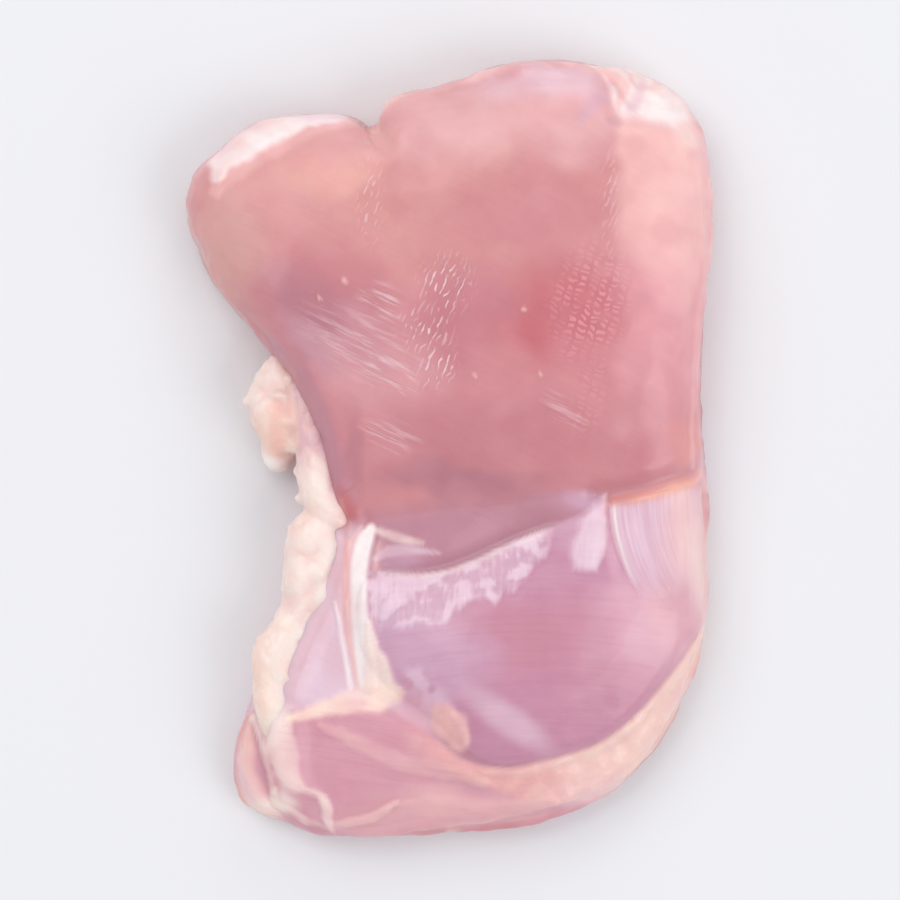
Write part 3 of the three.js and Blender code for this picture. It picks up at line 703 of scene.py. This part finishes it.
# Disc of points: the centre, then rings of which ring k has 8k points, so that the triangles
# are all about one size. Returns the ring and the place on it of each point but the centre,
# and the triangles.
def discGrid(rings):
    ringOf = np.repeat(np.arange(1, rings + 1), 8 * np.arange(1, rings + 1))
    firsts = np.r_[0, 1 + 4 * np.arange(rings + 1) * np.arange(1, rings + 2)]  # first point of ring k + 1
    place = np.arange(len(ringOf)) + 1 - firsts[ringOf]
    sector, step = place // ringOf, place % ringOf
    inner = np.where(ringOf > 1, firsts[ringOf - 1], 0)
    innerCount = np.maximum(8 * (ringOf - 1), 1)
    a = np.arange(len(ringOf)) + 1
    b = firsts[ringOf] + (place + 1) % (8 * ringOf)
    c = inner + (sector * (ringOf - 1) + step) % innerCount
    d = inner + (sector * (ringOf - 1) + step + 1) % innerCount
    return ringOf, place, np.concatenate([np.c_[a, b, c], np.c_[b, d, c][step + 1 < ringOf]])


# Place in plan of points at a turn round the outline and a share of the way out to it. The
# outline is softened towards the middle.
def discPlace(turn, share):
    outer = lerp(atShares(softRim, turn), atShares(rim, turn), smooth(0.8, 0.98, share)[:, None])
    return (centre + (outer - centre) * share[:, None]).T


# Turn, share of the way out and level of every point of the meat, and its triangles: a disc that
# is widened to the outline, rows down the rounded side, and a disc with half as many rings
# underneath. The rows follow the sine and cosine of an even turn, on the side and round the foot.
def meatGrid():
    rings, count = slab["rings"], 8 * slab["rings"]
    ringOf, place, topFaces = discGrid(rings)
    underRing, underPlace, underFaces = discGrid(rings // 2)
    firstTurn = np.arcsin(1 - (1 - slab["ringShare"]) / slab["rimShare"])
    sideTurn = lerp(firstTurn, np.pi / 2, np.arange(1, slab["sideRows"] + 1) / slab["sideRows"])
    footTurn = np.pi / 2 * np.arange(1, slab["footRows"] + 1) / slab["footRows"]
    topShare = slab["ringShare"] * ringOf / rings
    sideShare = 1 - slab["rimShare"] + slab["rimShare"] * np.sin(sideTurn)
    rowShare = np.r_[sideShare, 1 - slab["footShare"] * (1 - np.cos(footTurn))]
    rowLevel = np.r_[rimFall(sideShare), slab["rimLevel"] * (1 - np.sin(footTurn))]
    underShare = (1 - slab["footShare"]) * underRing / (rings // 2 + 1)
    share = np.r_[0, topShare, np.repeat(rowShare, count), 0, underShare]
    level = np.r_[1, rimFall(topShare), np.repeat(rowLevel, count), 0, np.zeros(len(underRing))]
    loop = np.tile(np.arange(count) / count, len(rowShare))
    turn = np.r_[0, place / (8 * ringOf), loop, 0, underPlace / (8 * underRing)]

    start = len(ringOf) + 1 - count
    faces = [bridge(start + r * count, start + (r + 1) * count, count) for r in range(len(rowShare))]
    last = start + len(rowShare) * count
    middle = last + count
    lowest = middle + 1 + len(underRing) - count // 2
    j = np.arange(count // 2)
    one, two, three = last + 2 * j, last + 2 * j + 1, last + (2 * j + 2) % count
    within, nextWithin = lowest + j, lowest + (j + 1) % (count // 2)
    faces += [np.c_[one, within, two], np.c_[two, within, nextWithin], np.c_[two, nextWithin, three]]
    return turn, share, level, np.concatenate([topFaces, *faces, middle + underFaces[:, ::-1]])


# How far the side swells outwards: layers of noise, less a groove that wanders round it, comes and
# goes, and has bits of fat along it. Returns the groove and the fat too.
def sideRelief(x, y, height, side, membrane):
    aboveSeam = height - slab["seamHeight"] - slab["seamWander"] * softNoise(x, y, 0, 21, 46)
    gaping = side * smooth(-0.35, 0.15, softNoise(x, y, 0, 16, 47))
    groove = gaping * bell(aboveSeam, slab["seamWidth"])
    bits = softNoise(x, y, height, 7, 48) + 0.35 * softNoise(x, y, height, 2.2, 49)
    fat = gaping * smooth(0.05, 0.5, bits - 0.22 * (aboveSeam - 0.7) ** 2) * (1 - membrane)
    layers = 0.5 * softNoise(x * 0.35, y * 0.35, height * 1.6, 3.2, 32)
    layers += 0.2 * softNoise(x, y, height * 2, 2.3, 33)
    swell = side * (layers - 0.4) * smooth(0, 2, height) - slab["seamDepth"] * groove
    swell += gaping * 0.3 * bell(aboveSeam - 1.9, 1.3) + 0.3 * fat
    return swell, groove * (1 - fat), fat


# Fibres: their direction in degrees in the large muscle and in the tail, how they bend in the small
# one, the level where the side begins, how long and wide the thigh counts there, and how strongly
# they show in each place
fibres = {
    "largeTurn": -26, "tailTurn": -9, "bend": 0.004, "bendAt": 14, "sideLevel": 0.88,
    "sideSpan": (65, 18), "large": 0.14, "small": 0.32, "tail": 0.4, "side": 0.22,
}


# Coordinates for the fibres, which run along the first of the three. On the side they run round
# it: the cosine and sine of the turn times its length and width, with the height between.
def grainOf(x, y, height, turn, zones, onSide):
    def turnedTo(degrees):
        cosine, sine = np.cos(np.radians(degrees)), np.sin(np.radians(degrees))
        return np.c_[x * cosine + y * sine, -x * sine + y * cosine, height]

    angle = 2 * np.pi * turn
    long, wide = fibres["sideSpan"]
    grain = turnedTo(fibres["largeTurn"])
    for here, other in (
        (zones["inSmall"] > 0, np.c_[x, y + fibres["bend"] * (x - fibres["bendAt"]) ** 2, height]),
        (zones["near"]["band"] < 0, turnedTo(fibres["tailTurn"])),
        (zones["fan"] > 0.05, np.c_[y, zones["fanAcross"], height]),
        (onSide, np.c_[long * np.cos(angle), height, wide * np.sin(angle)]),
    ):
        grain = np.where(here[:, None], other, grain)
    return grain


# Where the marks of silverskin show on the large muscle, the streaks and dashes being painted highlights
# of its wet fibres: strength, place, half-sizes and turn
marks = {
    "streaks": [
        (1, (-11.8, 25.6), (4.2, 3.6), -14), (0.6, (-15, 18.4), (12, 5.5), -25),
        (1, (-11, 14), (6.6, 4.6), -24), (0.8, (-10.2, 2.6), (5.6, 3), -12),
        (0.6, (20.4, 7.4), (4.6, 3.2), -34),
    ],
    "dashes": [
        (1, (-0.6, 28.8), (4.8, 5.4), -20), (1, (-4.2, 21.2), (4.8, 4.2), 0),
        (1, (-1.8, 14.8), (3.2, 4.6), -30), (0.5, (-13.6, 44), (2.4, 8), 0),
        (0.35, (28, 43), (1.8, 10), 0),
    ],
    "weave": [(1, (24.4, 25.4), (7, 10.5), -8), (0.45, (24, 9), (4, 8), -20)],
}


# The meat: the grid laid on the upper surface, with zones that lean along the outline as they go
# down the side. Underneath is a shallow hollow with grooves where muscles meet.
def makeMeat(material):
    turn, share, level, faces = meatGrid()
    x, y = discPlace(turn, share)
    drop = slab["sideHeight"] * np.maximum(slab["leanLevel"] - level, 0)
    zones = zonesAt(*discPlace((turn + slab["lean"] * drop) % 1, share),
                    drop * (1 + 0.6 * softNoise(x, y, slab["sideHeight"] * level, 4.4, 30)))
    zones["fan"] = zones["fan"] * smooth(0.6, 0.9, level)
    near = zones["near"]
    foot = 1 - slab["footShare"]
    under = (level == 0) & (share < foot)
    underShare = under * smooth(foot, foot - 0.09, share)
    underSeam = smooth(0.12, 0.02, np.abs(softNoise(x, y * 0.6, 0, 19, 38)))
    hollow = slab["underRelief"] * np.clip(0.35 + softNoise(x, y, 5, 17, 31), 0, 1) + 0.6 * underSeam
    height = np.where(under, underShare * hollow, topHeight(x, y, zones) * level)

    side = smooth(0.92, 0.55, level) * (1 - smooth(foot, foot - 0.05, share) * under)
    swell, groove, fat = sideRelief(x, y, height, side, zones["membrane"])
    seam = {"groove": groove, "fat": fat, "under": underSeam * underShare, "side": side}
    points = np.c_[x, y, height]
    points += normalsOf(points, faces) * swell[:, None]
    points[:, 2] = np.maximum(points[:, 2], 0)
    points[:, :2] -= boxMiddle

    # Fibres fade out where their direction changes
    onSide = (level < fibres["sideLevel"]) & ~under
    sameWay = smooth(0, 0.9, np.abs(zones["inSmall"])) * smooth(0, 0.9, np.abs(near["band"]))
    sameWay *= smooth(0, 0.045, np.abs(zones["fan"] - 0.05))
    sameWay = np.where(onSide, smooth(0, 0.15, level), sameWay)
    sameWay *= smooth(0, 0.05, np.abs(level - fibres["sideLevel"]))
    strength = np.where(near["band"] < 0, fibres["tail"], fibres["large"])
    strength = np.where(zones["inSmall"] > 0, fibres["small"], strength)
    fatTop = np.maximum(zones["fatty"], smooth(0.4, 1.6, near["topFold"])) * (1 - under)
    attributes = {
        "paint": paintOf(x, y, height, zones, underShare, seam),
        "grain": grainOf(x, y, height, turn, zones, onSide),
        "fibrous": sameWay * np.maximum(strength, fibres["side"] * np.maximum(side, underShare)),
        "silver": np.maximum(zones["silver"], zones["patch"]) * (1 - under),
        "fan": smooth(0.05, 0.4, zones["fan"]) * smooth(46, 36, x) * sameWay * (1 - under),
        "fatty": np.maximum(fatTop, fat),
    }
    for mark, places in marks.items():
        shown = np.maximum.reduce([much * spot(x, y, *place) for much, *place in places])
        attributes[mark] = shown * (1 - under)
    piece = makePiece("thighMeat", points, faces, material, attributes)
    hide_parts("chicken_thigh")


# Cords of fat: middle line as (x, y, z, half-width), and the tones of the left side, the
# crown and the right side, then the tones of the near and the far tip
fatCords = {
    "lump": {"tones": ("warmCream", "lobe", "warmCream"), "tips": ("warmFat", "whiteFat"), "line": [
        (-30.8, 17.2, 9, 1.3), (-30.6, 13.6, 8.4, 3.0), (-30.2, 10, 7.6, 5.1), (-29.7, 7, 7.2, 5.6),
        (-29.2, 3.4, 6.4, 4.5), (-29.7, 0.2, 5.4, 3.1), (-30.4, -4, 4.2, 2.2),
    ]},
    "strand": {"tones": ("warmFat", "warmFat", "pinkLilac"), "tips": ("veil", "fatPink"), "line": [
        (-26.6, 11.8, 10, 1.9), (-24.6, 5.4, 10.6, 3), (-23.4, -0.4, 10.8, 3.4),
        (-22.9, -5.6, 10.8, 3.8), (-21.4, -9.8, 11.2, 3.4), (-18.2, -12.1, 11.8, 1.8),
    ]},
    # The long cord's paler crown between a peach left and a pinker right side is partly painted shade
    "cord": {"tones": ("warmCream", "cream", "fatPink"), "tips": ("warmFat", "fatPink"), "line": [
        (-23.2, -9.8, 10.4, 3.2), (-23.7, -15.8, 9.6, 4.9), (-24, -21.4, 9.2, 4.9),
        (-25.2, -27, 9, 4.4), (-27.6, -32, 8.8, 4), (-29.8, -36.4, 8.6, 4.4),
        (-30.8, -41.8, 8.9, 3.7), (-30.1, -47, 9.9, 3.3), (-29.4, -52, 9.9, 3),
        (-28, -58.8, 8.4, 2.3),
    ]},
}
fatLobes = [  # place and radius of the small lobes on the cords
    (-34.4, 8.4, 8, 2), (-33, 4.4, 7, 2), (-32.2, 13, 8.6, 1.8), (-27.8, 12.2, 9.6, 2.2),
    (-29.6, 9.4, 11, 2.6), (-28, 5.2, 11, 2.2), (-27.2, 1.2, 8.4, 2.6), (-25.9, -3.6, 9.6, 2.2),
    (-25.4, -8.4, 9.8, 2.2), (-19.4, -12.4, 12.2, 2), (-26.6, -13.8, 9.6, 2.4), (-27.8, -24.4, 9, 2),
    (-30.2, -32.4, 8.6, 2.4), (-33, -40.4, 8.4, 2), (-21.2, -16.4, 11.2, 2.4),
    (-22.2, -25.4, 10.8, 2.2), (-28, -40, 10.6, 2.2), (-31.8, -45.6, 9.4, 2),
    (-27.6, -47.4, 10.8, 2), (-28, -52.4, 10.6, 1.8),
]
# The skin of the fat: voxels, rounds of softening, and swells with the sizes of their cells
fatSkin = {"voxel": 0.36, "softening": 12, "swell": 0.6, "cell": 4.6, "fineSwell": 0.16, "fineCell": 2.6}


# Shell of one cord: circles carried along the line, as wide as it says and rounded off at
# both ends, where they close in a point
def cordShell(line, rows=110, sides=48):
    curve = curveThrough(line, 30)
    share = (np.arange(rows) + 0.5) / rows
    line = atShares(curve, share)
    length = np.linalg.norm(np.diff(curve[:, :3], axis=0), axis=1).sum()
    tangent = np.gradient(line[:, :3], axis=0)
    tangent /= np.linalg.norm(tangent, axis=1, keepdims=True)
    across = np.cross(tangent, [0, 0, 1])
    across /= np.linalg.norm(across, axis=1, keepdims=True)
    lift = np.cross(across, tangent)
    toEnd = np.minimum(share, 1 - share) * length
    reach = line[:, 3] * np.sqrt(1 - (1 - np.minimum(1, toEnd / line[:, 3])) ** 2)
    angle = 2 * np.pi * np.arange(sides) / sides
    ring = (across[:, None] * np.cos(angle)[:, None] + 0.92 * lift[:, None] * np.sin(angle)[:, None])
    circles = (line[:, None, :3] + ring * reach[:, None, None]).reshape(-1, 3)
    points = np.vstack([circles, curve[[0, -1], :3]])
    faces = [bridge(row * sides, (row + 1) * sides, sides) for row in range(rows - 1)]
    j = np.arange(sides)
    k = (j + 1) % sides
    faces += [np.c_[k, np.full(sides, rows * sides), j],
              np.c_[(rows - 1) * sides + j, np.full(sides, rows * sides + 1), (rows - 1) * sides + k]]
    return points, np.concatenate(faces)


# One skin round all the shells: a voxel remesh of them, softened. Returns its points in
# millimetres and its triangles.
def fusedSkin(shells):
    starts = np.cumsum([0] + [len(points) for points, faces in shells])
    rough = bpy.data.meshes.new("fatShells")
    allPoints = np.vstack([points for points, faces in shells])
    allFaces = np.vstack([faces + start for (points, faces), start in zip(shells, starts)])
    rough.from_pydata((allPoints * millimetre).tolist(), [], allFaces.tolist())
    shellObject = bpy.data.objects.new("fatShells", rough)
    bpy.context.scene.collection.objects.link(shellObject)
    fuse = shellObject.modifiers.new("fuse", "REMESH")
    fuse.mode, fuse.voxel_size = "VOXEL", fatSkin["voxel"] * millimetre
    soften = shellObject.modifiers.new("soften", "SMOOTH")
    soften.factor, soften.iterations = 0.5, fatSkin["softening"]
    skin = shellObject.evaluated_get(bpy.context.evaluated_depsgraph_get()).to_mesh()
    skin.calc_loop_triangles()
    points = np.empty(3 * len(skin.vertices))
    skin.vertices.foreach_get("co", points)
    faces = np.empty(3 * len(skin.loop_triangles), np.int32)
    skin.loop_triangles.foreach_get("vertices", faces)
    bpy.data.objects.remove(shellObject)
    return points.reshape(-1, 3) / millimetre, faces.reshape(-1, 3)


# Tones of the fat: a tone is picked by how far a point lies to the left or right of the nearest
# cord's middle line, in half-widths, and towards the ends it becomes the tips' tones. The places
# before the swell are used, except to find the nearest cord.
def fatPaint(points, swollen, swell):
    x, y, z = points.T
    nearest, paint = np.full(len(points), np.inf), np.zeros((len(points), 3))
    for look in fatCords.values():
        curve = curveThrough(look["line"], 16)
        gaps = np.linalg.norm(swollen[:, None, :2] - curve[None, :, :2], axis=2)
        at = gaps.argmin(1)
        gap = gaps[np.arange(len(points)), at] / curve[at, 3]
        sideways = (x - curve[at, 0]) / curve[at, 3] + 0.5 * softNoise(x, y, z, 3.6, 43)
        left, crown, right, near, far = (linear(palette[tone]) for tone in look["tones"] + look["tips"])
        tone = lerp(crown, left, smooth(-0.1, -0.9, sideways)[:, None])
        tone = lerp(tone, right, smooth(0.1, 0.8, sideways)[:, None])
        along = at / len(curve)
        nearEnd = 0.85 * smooth(0.52, 0.3, along + 0.12 * softNoise(x, y, z, 3, 45))
        tone = lerp(tone, near, nearEnd[:, None])
        tone = lerp(tone, far, smooth(0.84, 0.95, along)[:, None])
        paint = lerp(paint, tone, smooth(-0.25, 0.25, nearest - gap)[:, None])
        nearest = np.minimum(nearest, gap)
    lobeHere = 0.35 * smooth(0, 0.8, softNoise(x, y, z, 4.1, 44))
    paint = lerp(paint, linear(palette["lobe"]), lobeHere[:, None])
    return lerp(paint, linear(palette["salmon"]), 0.35 * smooth(0.1, -0.6, swell)[:, None])


# The fat: the cords and their lobes fused into one skin, then swollen along its normals by noise.
# A lobe is the shell of a short line along Y.
def makeFat(material):
    lobes = [[(x, y - 0.6 * size, z, size), (x, y, z, size), (x, y + 0.6 * size, z, size)]
             for x, y, z, size in fatLobes]
    points, faces = fusedSkin([cordShell(look["line"]) for look in fatCords.values()]
                              + [cordShell(line, 24, 24) for line in lobes])
    swell = fatSkin["swell"] * softNoise(*points.T, fatSkin["cell"], 41)
    swell += fatSkin["fineSwell"] * (2 * np.abs(softNoise(*points.T, fatSkin["fineCell"], 42)) - 0.5)
    swollen = points + normalsOf(points, faces) * swell[:, None]
    paint = fatPaint(points, swollen, swell)
    swollen[:, :2] -= boxMiddle
    makePiece("fatCord", swollen, faces, material, {"paint": paint})


# A shader node with settings, and inputs that are values or other nodes' outputs
def addNode(tree, kind, inputs=None, **settings):
    made = tree.nodes.new(kind)
    for name, value in settings.items():
        setattr(made, name, value)
    for name, value in (inputs or {}).items():
        if isinstance(value, bpy.types.NodeSocket):
            tree.links.new(value, made.inputs[name])
        else:
            made.inputs[name].default_value = value
    return made


# One sum with two numbers
def calculate(tree, operation, first, second=0.0):
    return addNode(tree, "ShaderNodeMath", {0: first, 1: second}, operation=operation).outputs[0]


# The first number times all the others
def product(tree, first, *others):
    for other in others:
        first = calculate(tree, "MULTIPLY", first, other)
    return first


# The first colour with a share of the second mixed in
def mixColour(tree, share, first, second, blend="MIX"):
    inputs = {0: share, 6: first, 7: second}
    return addNode(tree, "ShaderNodeMix", inputs, data_type="RGBA", blend_type=blend).outputs[2]


# What the mesh carries under a name
def attribute(tree, name, output="Fac"):
    return addNode(tree, "ShaderNodeAttribute", attribute_name=name).outputs[output]


# Noise in millimetres: coordinates turned about Z, then stretched by the scale along each axis
def turnedNoise(tree, coordinates, turn, scale, detail=2.0, roughness=0.5):
    turned = addNode(tree, "ShaderNodeMapping", {
        "Vector": coordinates, "Rotation": (0, 0, -np.radians(turn)),
    })
    stretched = addNode(tree, "ShaderNodeMapping", {"Vector": turned.outputs[0], "Scale": scale})
    return addNode(tree, "ShaderNodeTexNoise", {
        "Vector": stretched.outputs[0], "Scale": 1.0, "Detail": detail, "Roughness": roughness,
    }).outputs["Fac"]


# The place on the thigh in millimetres
def placeInMillimetres(tree):
    place = addNode(tree, "ShaderNodeTexCoord").outputs["Object"]
    return addNode(tree, "ShaderNodeMapping", {"Vector": place, "Scale": (1000, 1000, 1000)}).outputs[0]


# 0 below low, 1 above high, softly in between
def threshold(tree, value, low, high):
    return addNode(tree, "ShaderNodeMapRange", {
        "Value": value, "From Min": low, "From Max": high, "To Min": 0.0, "To Max": 1.0,
    }, interpolation_type="SMOOTHSTEP").outputs[0]


# An empty material and its node tree
def newMaterial(name):
    material = bpy.data.materials.new(name)
    material.use_nodes = True
    material.node_tree.nodes.clear()
    return material, material.node_tree


wet = {"Roughness": 0.38, "IOR": 1.4, "Coat Weight": 0.5, "Coat Roughness": 0.12, "Coat IOR": 1.36}


# The wet surface of a tree: colour, bumps from a height, and light that spreads inside
def finishMaterial(tree, colour, height, bumpDistance, subsurface, radius):
    bump = addNode(tree, "ShaderNodeBump", {"Height": height, "Distance": bumpDistance, "Strength": 1.0})
    shader = addNode(tree, "ShaderNodeBsdfPrincipled", {
        "Base Color": colour, "Normal": bump.outputs[0], "Subsurface Weight": subsurface,
        "Subsurface Radius": radius, "Subsurface Scale": 0.004, **wet,
    })
    addNode(tree, "ShaderNodeOutputMaterial", {"Surface": shader.outputs[0]})


# Coordinates shifted along X and Y by a warp from 0 to 1, so that rows aren't straight
def bentPlace(tree, place, warp, shift):
    return addNode(tree, "ShaderNodeVectorMath", {0: warp, 1: (shift, shift, 0), 2: place},
                   operation="MULTIPLY_ADD").outputs[0]


# Wave from 0 to 1 along the direction at an angle, one rise and fall in each period
def wave(tree, place, turn, period):
    angle = np.radians(turn)
    factor = 2 * np.pi / period
    direction = (factor * np.cos(angle), factor * np.sin(angle), 0)
    along = addNode(tree, "ShaderNodeVectorMath", {0: place, 1: direction},
                    operation="DOT_PRODUCT").outputs["Value"]
    sine = addNode(tree, "ShaderNodeMath", {0: along}, operation="SINE").outputs[0]
    return addNode(tree, "ShaderNodeMath", {0: sine, 1: 0.5, 2: 0.5}, operation="MULTIPLY_ADD").outputs[0]


# Thin wavy strokes that run along a turned direction: the crests of a wave across them, broken
# into lengths by a stretched noise
def strokes(tree, place, warp, turn, period, mask):
    crests = threshold(tree, wave(tree, bentPlace(tree, place, warp, 1.5), turn + 90, period), 0.45, 0.9)
    lengths = threshold(tree, turnedNoise(tree, place, turn, (0.55, 1.1, 0.3), 1.0), 0.45, 0.58)
    return product(tree, crests, lengths, mask)


# Fine knit of the surface: short bars in columns, as the product of a wave across the bars and
# one along them. Returns the bars and the gaps between them, both within the mask.
def knit(tree, place, warp, mask):
    bent = bentPlace(tree, place, warp, 2.2)
    bars = threshold(tree, wave(tree, bent, 66, 1.05), 0.15, 0.85)
    columns = threshold(tree, wave(tree, bent, -16, 1.8), 0.05, 0.55)
    cells = product(tree, bars, columns)
    return product(tree, cells, mask), product(tree, calculate(tree, "SUBTRACT", 1.0, cells), mask)


# Marks on the meat in the order in which they are laid: tone, and how much of it shows
meatMarks = {
    # The tones of the streaks and dashes are painted highlights on silverskin
    "gaps": ((203, 108, 120), 0.45), "cells": ((238, 168, 175), 0.5), "streaks": ((243, 207, 213), 0.65),
    "dashes": ((255, 214, 220), 0.8), "fan": ((210, 164, 178), 0.4), "sheen": ((240, 212, 226), 0.35),
    "fatLumps": ((232, 168, 160), 0.35),
}


# Wet raw meat: painted tones, faint fibres along the grain, pale streaks and dashes of
# silverskin painted as highlights where the attributes ask for them, and fine bumps under a wet coat
def meatMaterial():
    material, tree = newMaterial("rawMeat")
    place, grain = placeInMillimetres(tree), attribute(tree, "grain", "Vector")
    fibreNoise = turnedNoise(tree, grain, 0, (0.08, 1.2, 0.3), 2, 0.55)
    mottle = turnedNoise(tree, place, 0, (0.2, 0.2, 0.2), 3, 0.5)
    grit = turnedNoise(tree, place, 0, (1.1, 1.1, 1.1), 1)
    fatLumps = turnedNoise(tree, place, 0, (0.5, 0.5, 0.5), 1)
    streaky = threshold(tree, turnedNoise(tree, grain, 0, (0.1, 1.15, 0.3), 3, 0.62), 0.46, 0.62)
    patchy = threshold(tree, turnedNoise(tree, grain, 0, (0.16, 0.42, 0.3), 1), 0.3, 0.52)
    worn = threshold(tree, turnedNoise(tree, place, 40, (0.3, 0.3, 0.3), 2), 0.3, 0.62)
    ribbed = threshold(tree, turnedNoise(tree, grain, 0, (0.04, 1.6, 0), 2.5, 0.6), 0.42, 0.62)
    silky = threshold(tree, turnedNoise(tree, place, 88, (0.25, 1.4, 0.3), 2), 0.45, 0.7)
    warpNoise = {"Vector": place, "Scale": 0.45, "Detail": 1.0}
    warp = addNode(tree, "ShaderNodeTexNoise", warpNoise).outputs["Color"]

    fibrous = attribute(tree, "fibrous")
    cells, gaps = knit(tree, place, warp, product(tree, worn, attribute(tree, "weave")))
    shown = {
        "gaps": gaps, "cells": cells,
        # The streaks and dashes are painted highlights on the silverskin
        "streaks": product(tree, streaky, attribute(tree, "streaks"), patchy),
        "dashes": strokes(tree, place, warp, 66, 1.0, attribute(tree, "dashes")),
        "fan": product(tree, ribbed, attribute(tree, "fan")),
        "sheen": product(tree, silky, attribute(tree, "silver")),
        "fatLumps": product(tree, attribute(tree, "fatty"), fatLumps),
    }
    colour = attribute(tree, "paint", "Color")
    dark = mixColour(tree, 1.0, colour, (0.90, 0.80, 0.83, 1), "MULTIPLY")
    colour = mixColour(tree, product(tree, threshold(tree, mottle, 0.4, 0.72), 0.35), colour, dark)
    colour = mixColour(tree, product(tree, threshold(tree, fibreNoise, 0.42, 0.72), fibrous), colour, dark)
    for mark, (tone, share) in meatMarks.items():
        colour = mixColour(tree, product(tree, shown[mark], share), colour, (*linear(tone), 1))

    height = product(tree, fibreNoise, fibrous)
    for part, share in ((grit, 0.12), (shown["streaks"], 0.5), (shown["dashes"], 0.9)):
        height = calculate(tree, "ADD", height, product(tree, part, share))
    height = calculate(tree, "SUBTRACT", height, shown["fatLumps"])
    finishMaterial(tree, colour, height, 0.00022, 0.35, (1.0, 0.38, 0.26))
    return material


# Fat: painted tones with pinker small lobes, soft light inside and a wet coat
def fatMaterial():
    material, tree = newMaterial("creamyFat")
    place = placeInMillimetres(tree)
    lobes = turnedNoise(tree, place, 0, (0.42, 0.42, 0.42), 3, 0.5)
    grit = turnedNoise(tree, place, 0, (1.3, 1.3, 1.3), 3, 0.55)
    colour = attribute(tree, "paint", "Color")
    for noise, low, tone in ((lobes, 0.45, (246, 190, 180)), (grit, 0.5, (255, 243, 238))):
        share = product(tree, threshold(tree, noise, low, 0.8), 0.15)
        colour = mixColour(tree, share, colour, (*linear(tone), 1))
    height = calculate(tree, "SUBTRACT", product(tree, grit, 0.2), lobes)
    finishMaterial(tree, colour, height, 0.00035, 0.4, (0.9, 0.55, 0.42))
    return material


# Floor, world, lights and camera
studio = {
    "floorTone": (236, 236, 237), "floorSize": 3.0, "worldTone": (0.93, 0.95, 1.0), "worldStrength": 0.64,
    "fieldHeight": 0.158, "fieldLevel": 0.008, "lens": 200, "sensor": 36,
}
lamps = {  # place, size, watts, tone
    "keyLight": ((-0.8, 0.9, 1.5), 1.5, 13.0, (1.0, 0.985, 0.97)),
    "fillLight": ((1.2, -0.7, 1.2), 1.2, 10.0, (1.0, 0.99, 1.0)),
    "rimLight": ((0.3, 1.3, 0.6), 0.7, 2.5, (1.0, 0.98, 0.96)),
}


# The pale floor, the world's even light, and the lamps, which all look at the origin
def makeStage():
    material, tree = newMaterial("paleFloor")
    shader = addNode(tree, "ShaderNodeBsdfPrincipled", {
        "Base Color": (*linear(studio["floorTone"]), 1), "Roughness": 0.6, "Specular IOR Level": 0.3,
    })
    addNode(tree, "ShaderNodeOutputMaterial", {"Surface": shader.outputs[0]})
    half = studio["floorSize"] / 2
    mesh = bpy.data.meshes.new("floor")
    corners = [(-half, -half, 0), (half, -half, 0), (half, half, 0), (-half, half, 0)]
    mesh.from_pydata(corners, [], [(0, 1, 2, 3)])
    mesh.materials.append(material)
    floor = bpy.data.objects.new("floor", mesh)
    bpy.context.scene.collection.objects.link(floor)

    world = bpy.data.worlds.new("studio")
    world.use_nodes = True
    background = world.node_tree.nodes["Background"]
    background.inputs["Color"].default_value = (*studio["worldTone"], 1)
    background.inputs["Strength"].default_value = studio["worldStrength"]
    bpy.context.scene.world = world

    for name, (place, size, watts, tone) in lamps.items():
        light = bpy.data.lights.new(name, "AREA")
        light.size, light.energy, light.color = size, watts, tone
        lamp = bpy.data.objects.new(name, light)
        lamp.location = place
        lamp.rotation_euler = (-Vector(place)).to_track_quat("-Z", "Y").to_euler()
        bpy.context.scene.collection.objects.link(lamp)


# A camera straight above the thigh, so far up that its lens shows the field's height
def makeCamera():
    lens = bpy.data.cameras.new("camera")
    lens.lens, lens.sensor_width = studio["lens"], studio["sensor"]
    camera = bpy.data.objects.new("camera", lens)
    middle = (cadBox[0] + cadBox[1]) / 2
    distance = studio["fieldHeight"] * studio["lens"] / studio["sensor"]
    camera.location = (middle.x, middle.y, studio["fieldLevel"] + distance)
    bpy.context.scene.collection.objects.link(camera)
    bpy.context.scene.camera = camera


makeCamera()
makeStage()
makeMeat(meatMaterial())
makeFat(fatMaterial())
bpy.context.scene.view_settings.view_transform = "Standard"

print("scene finished")
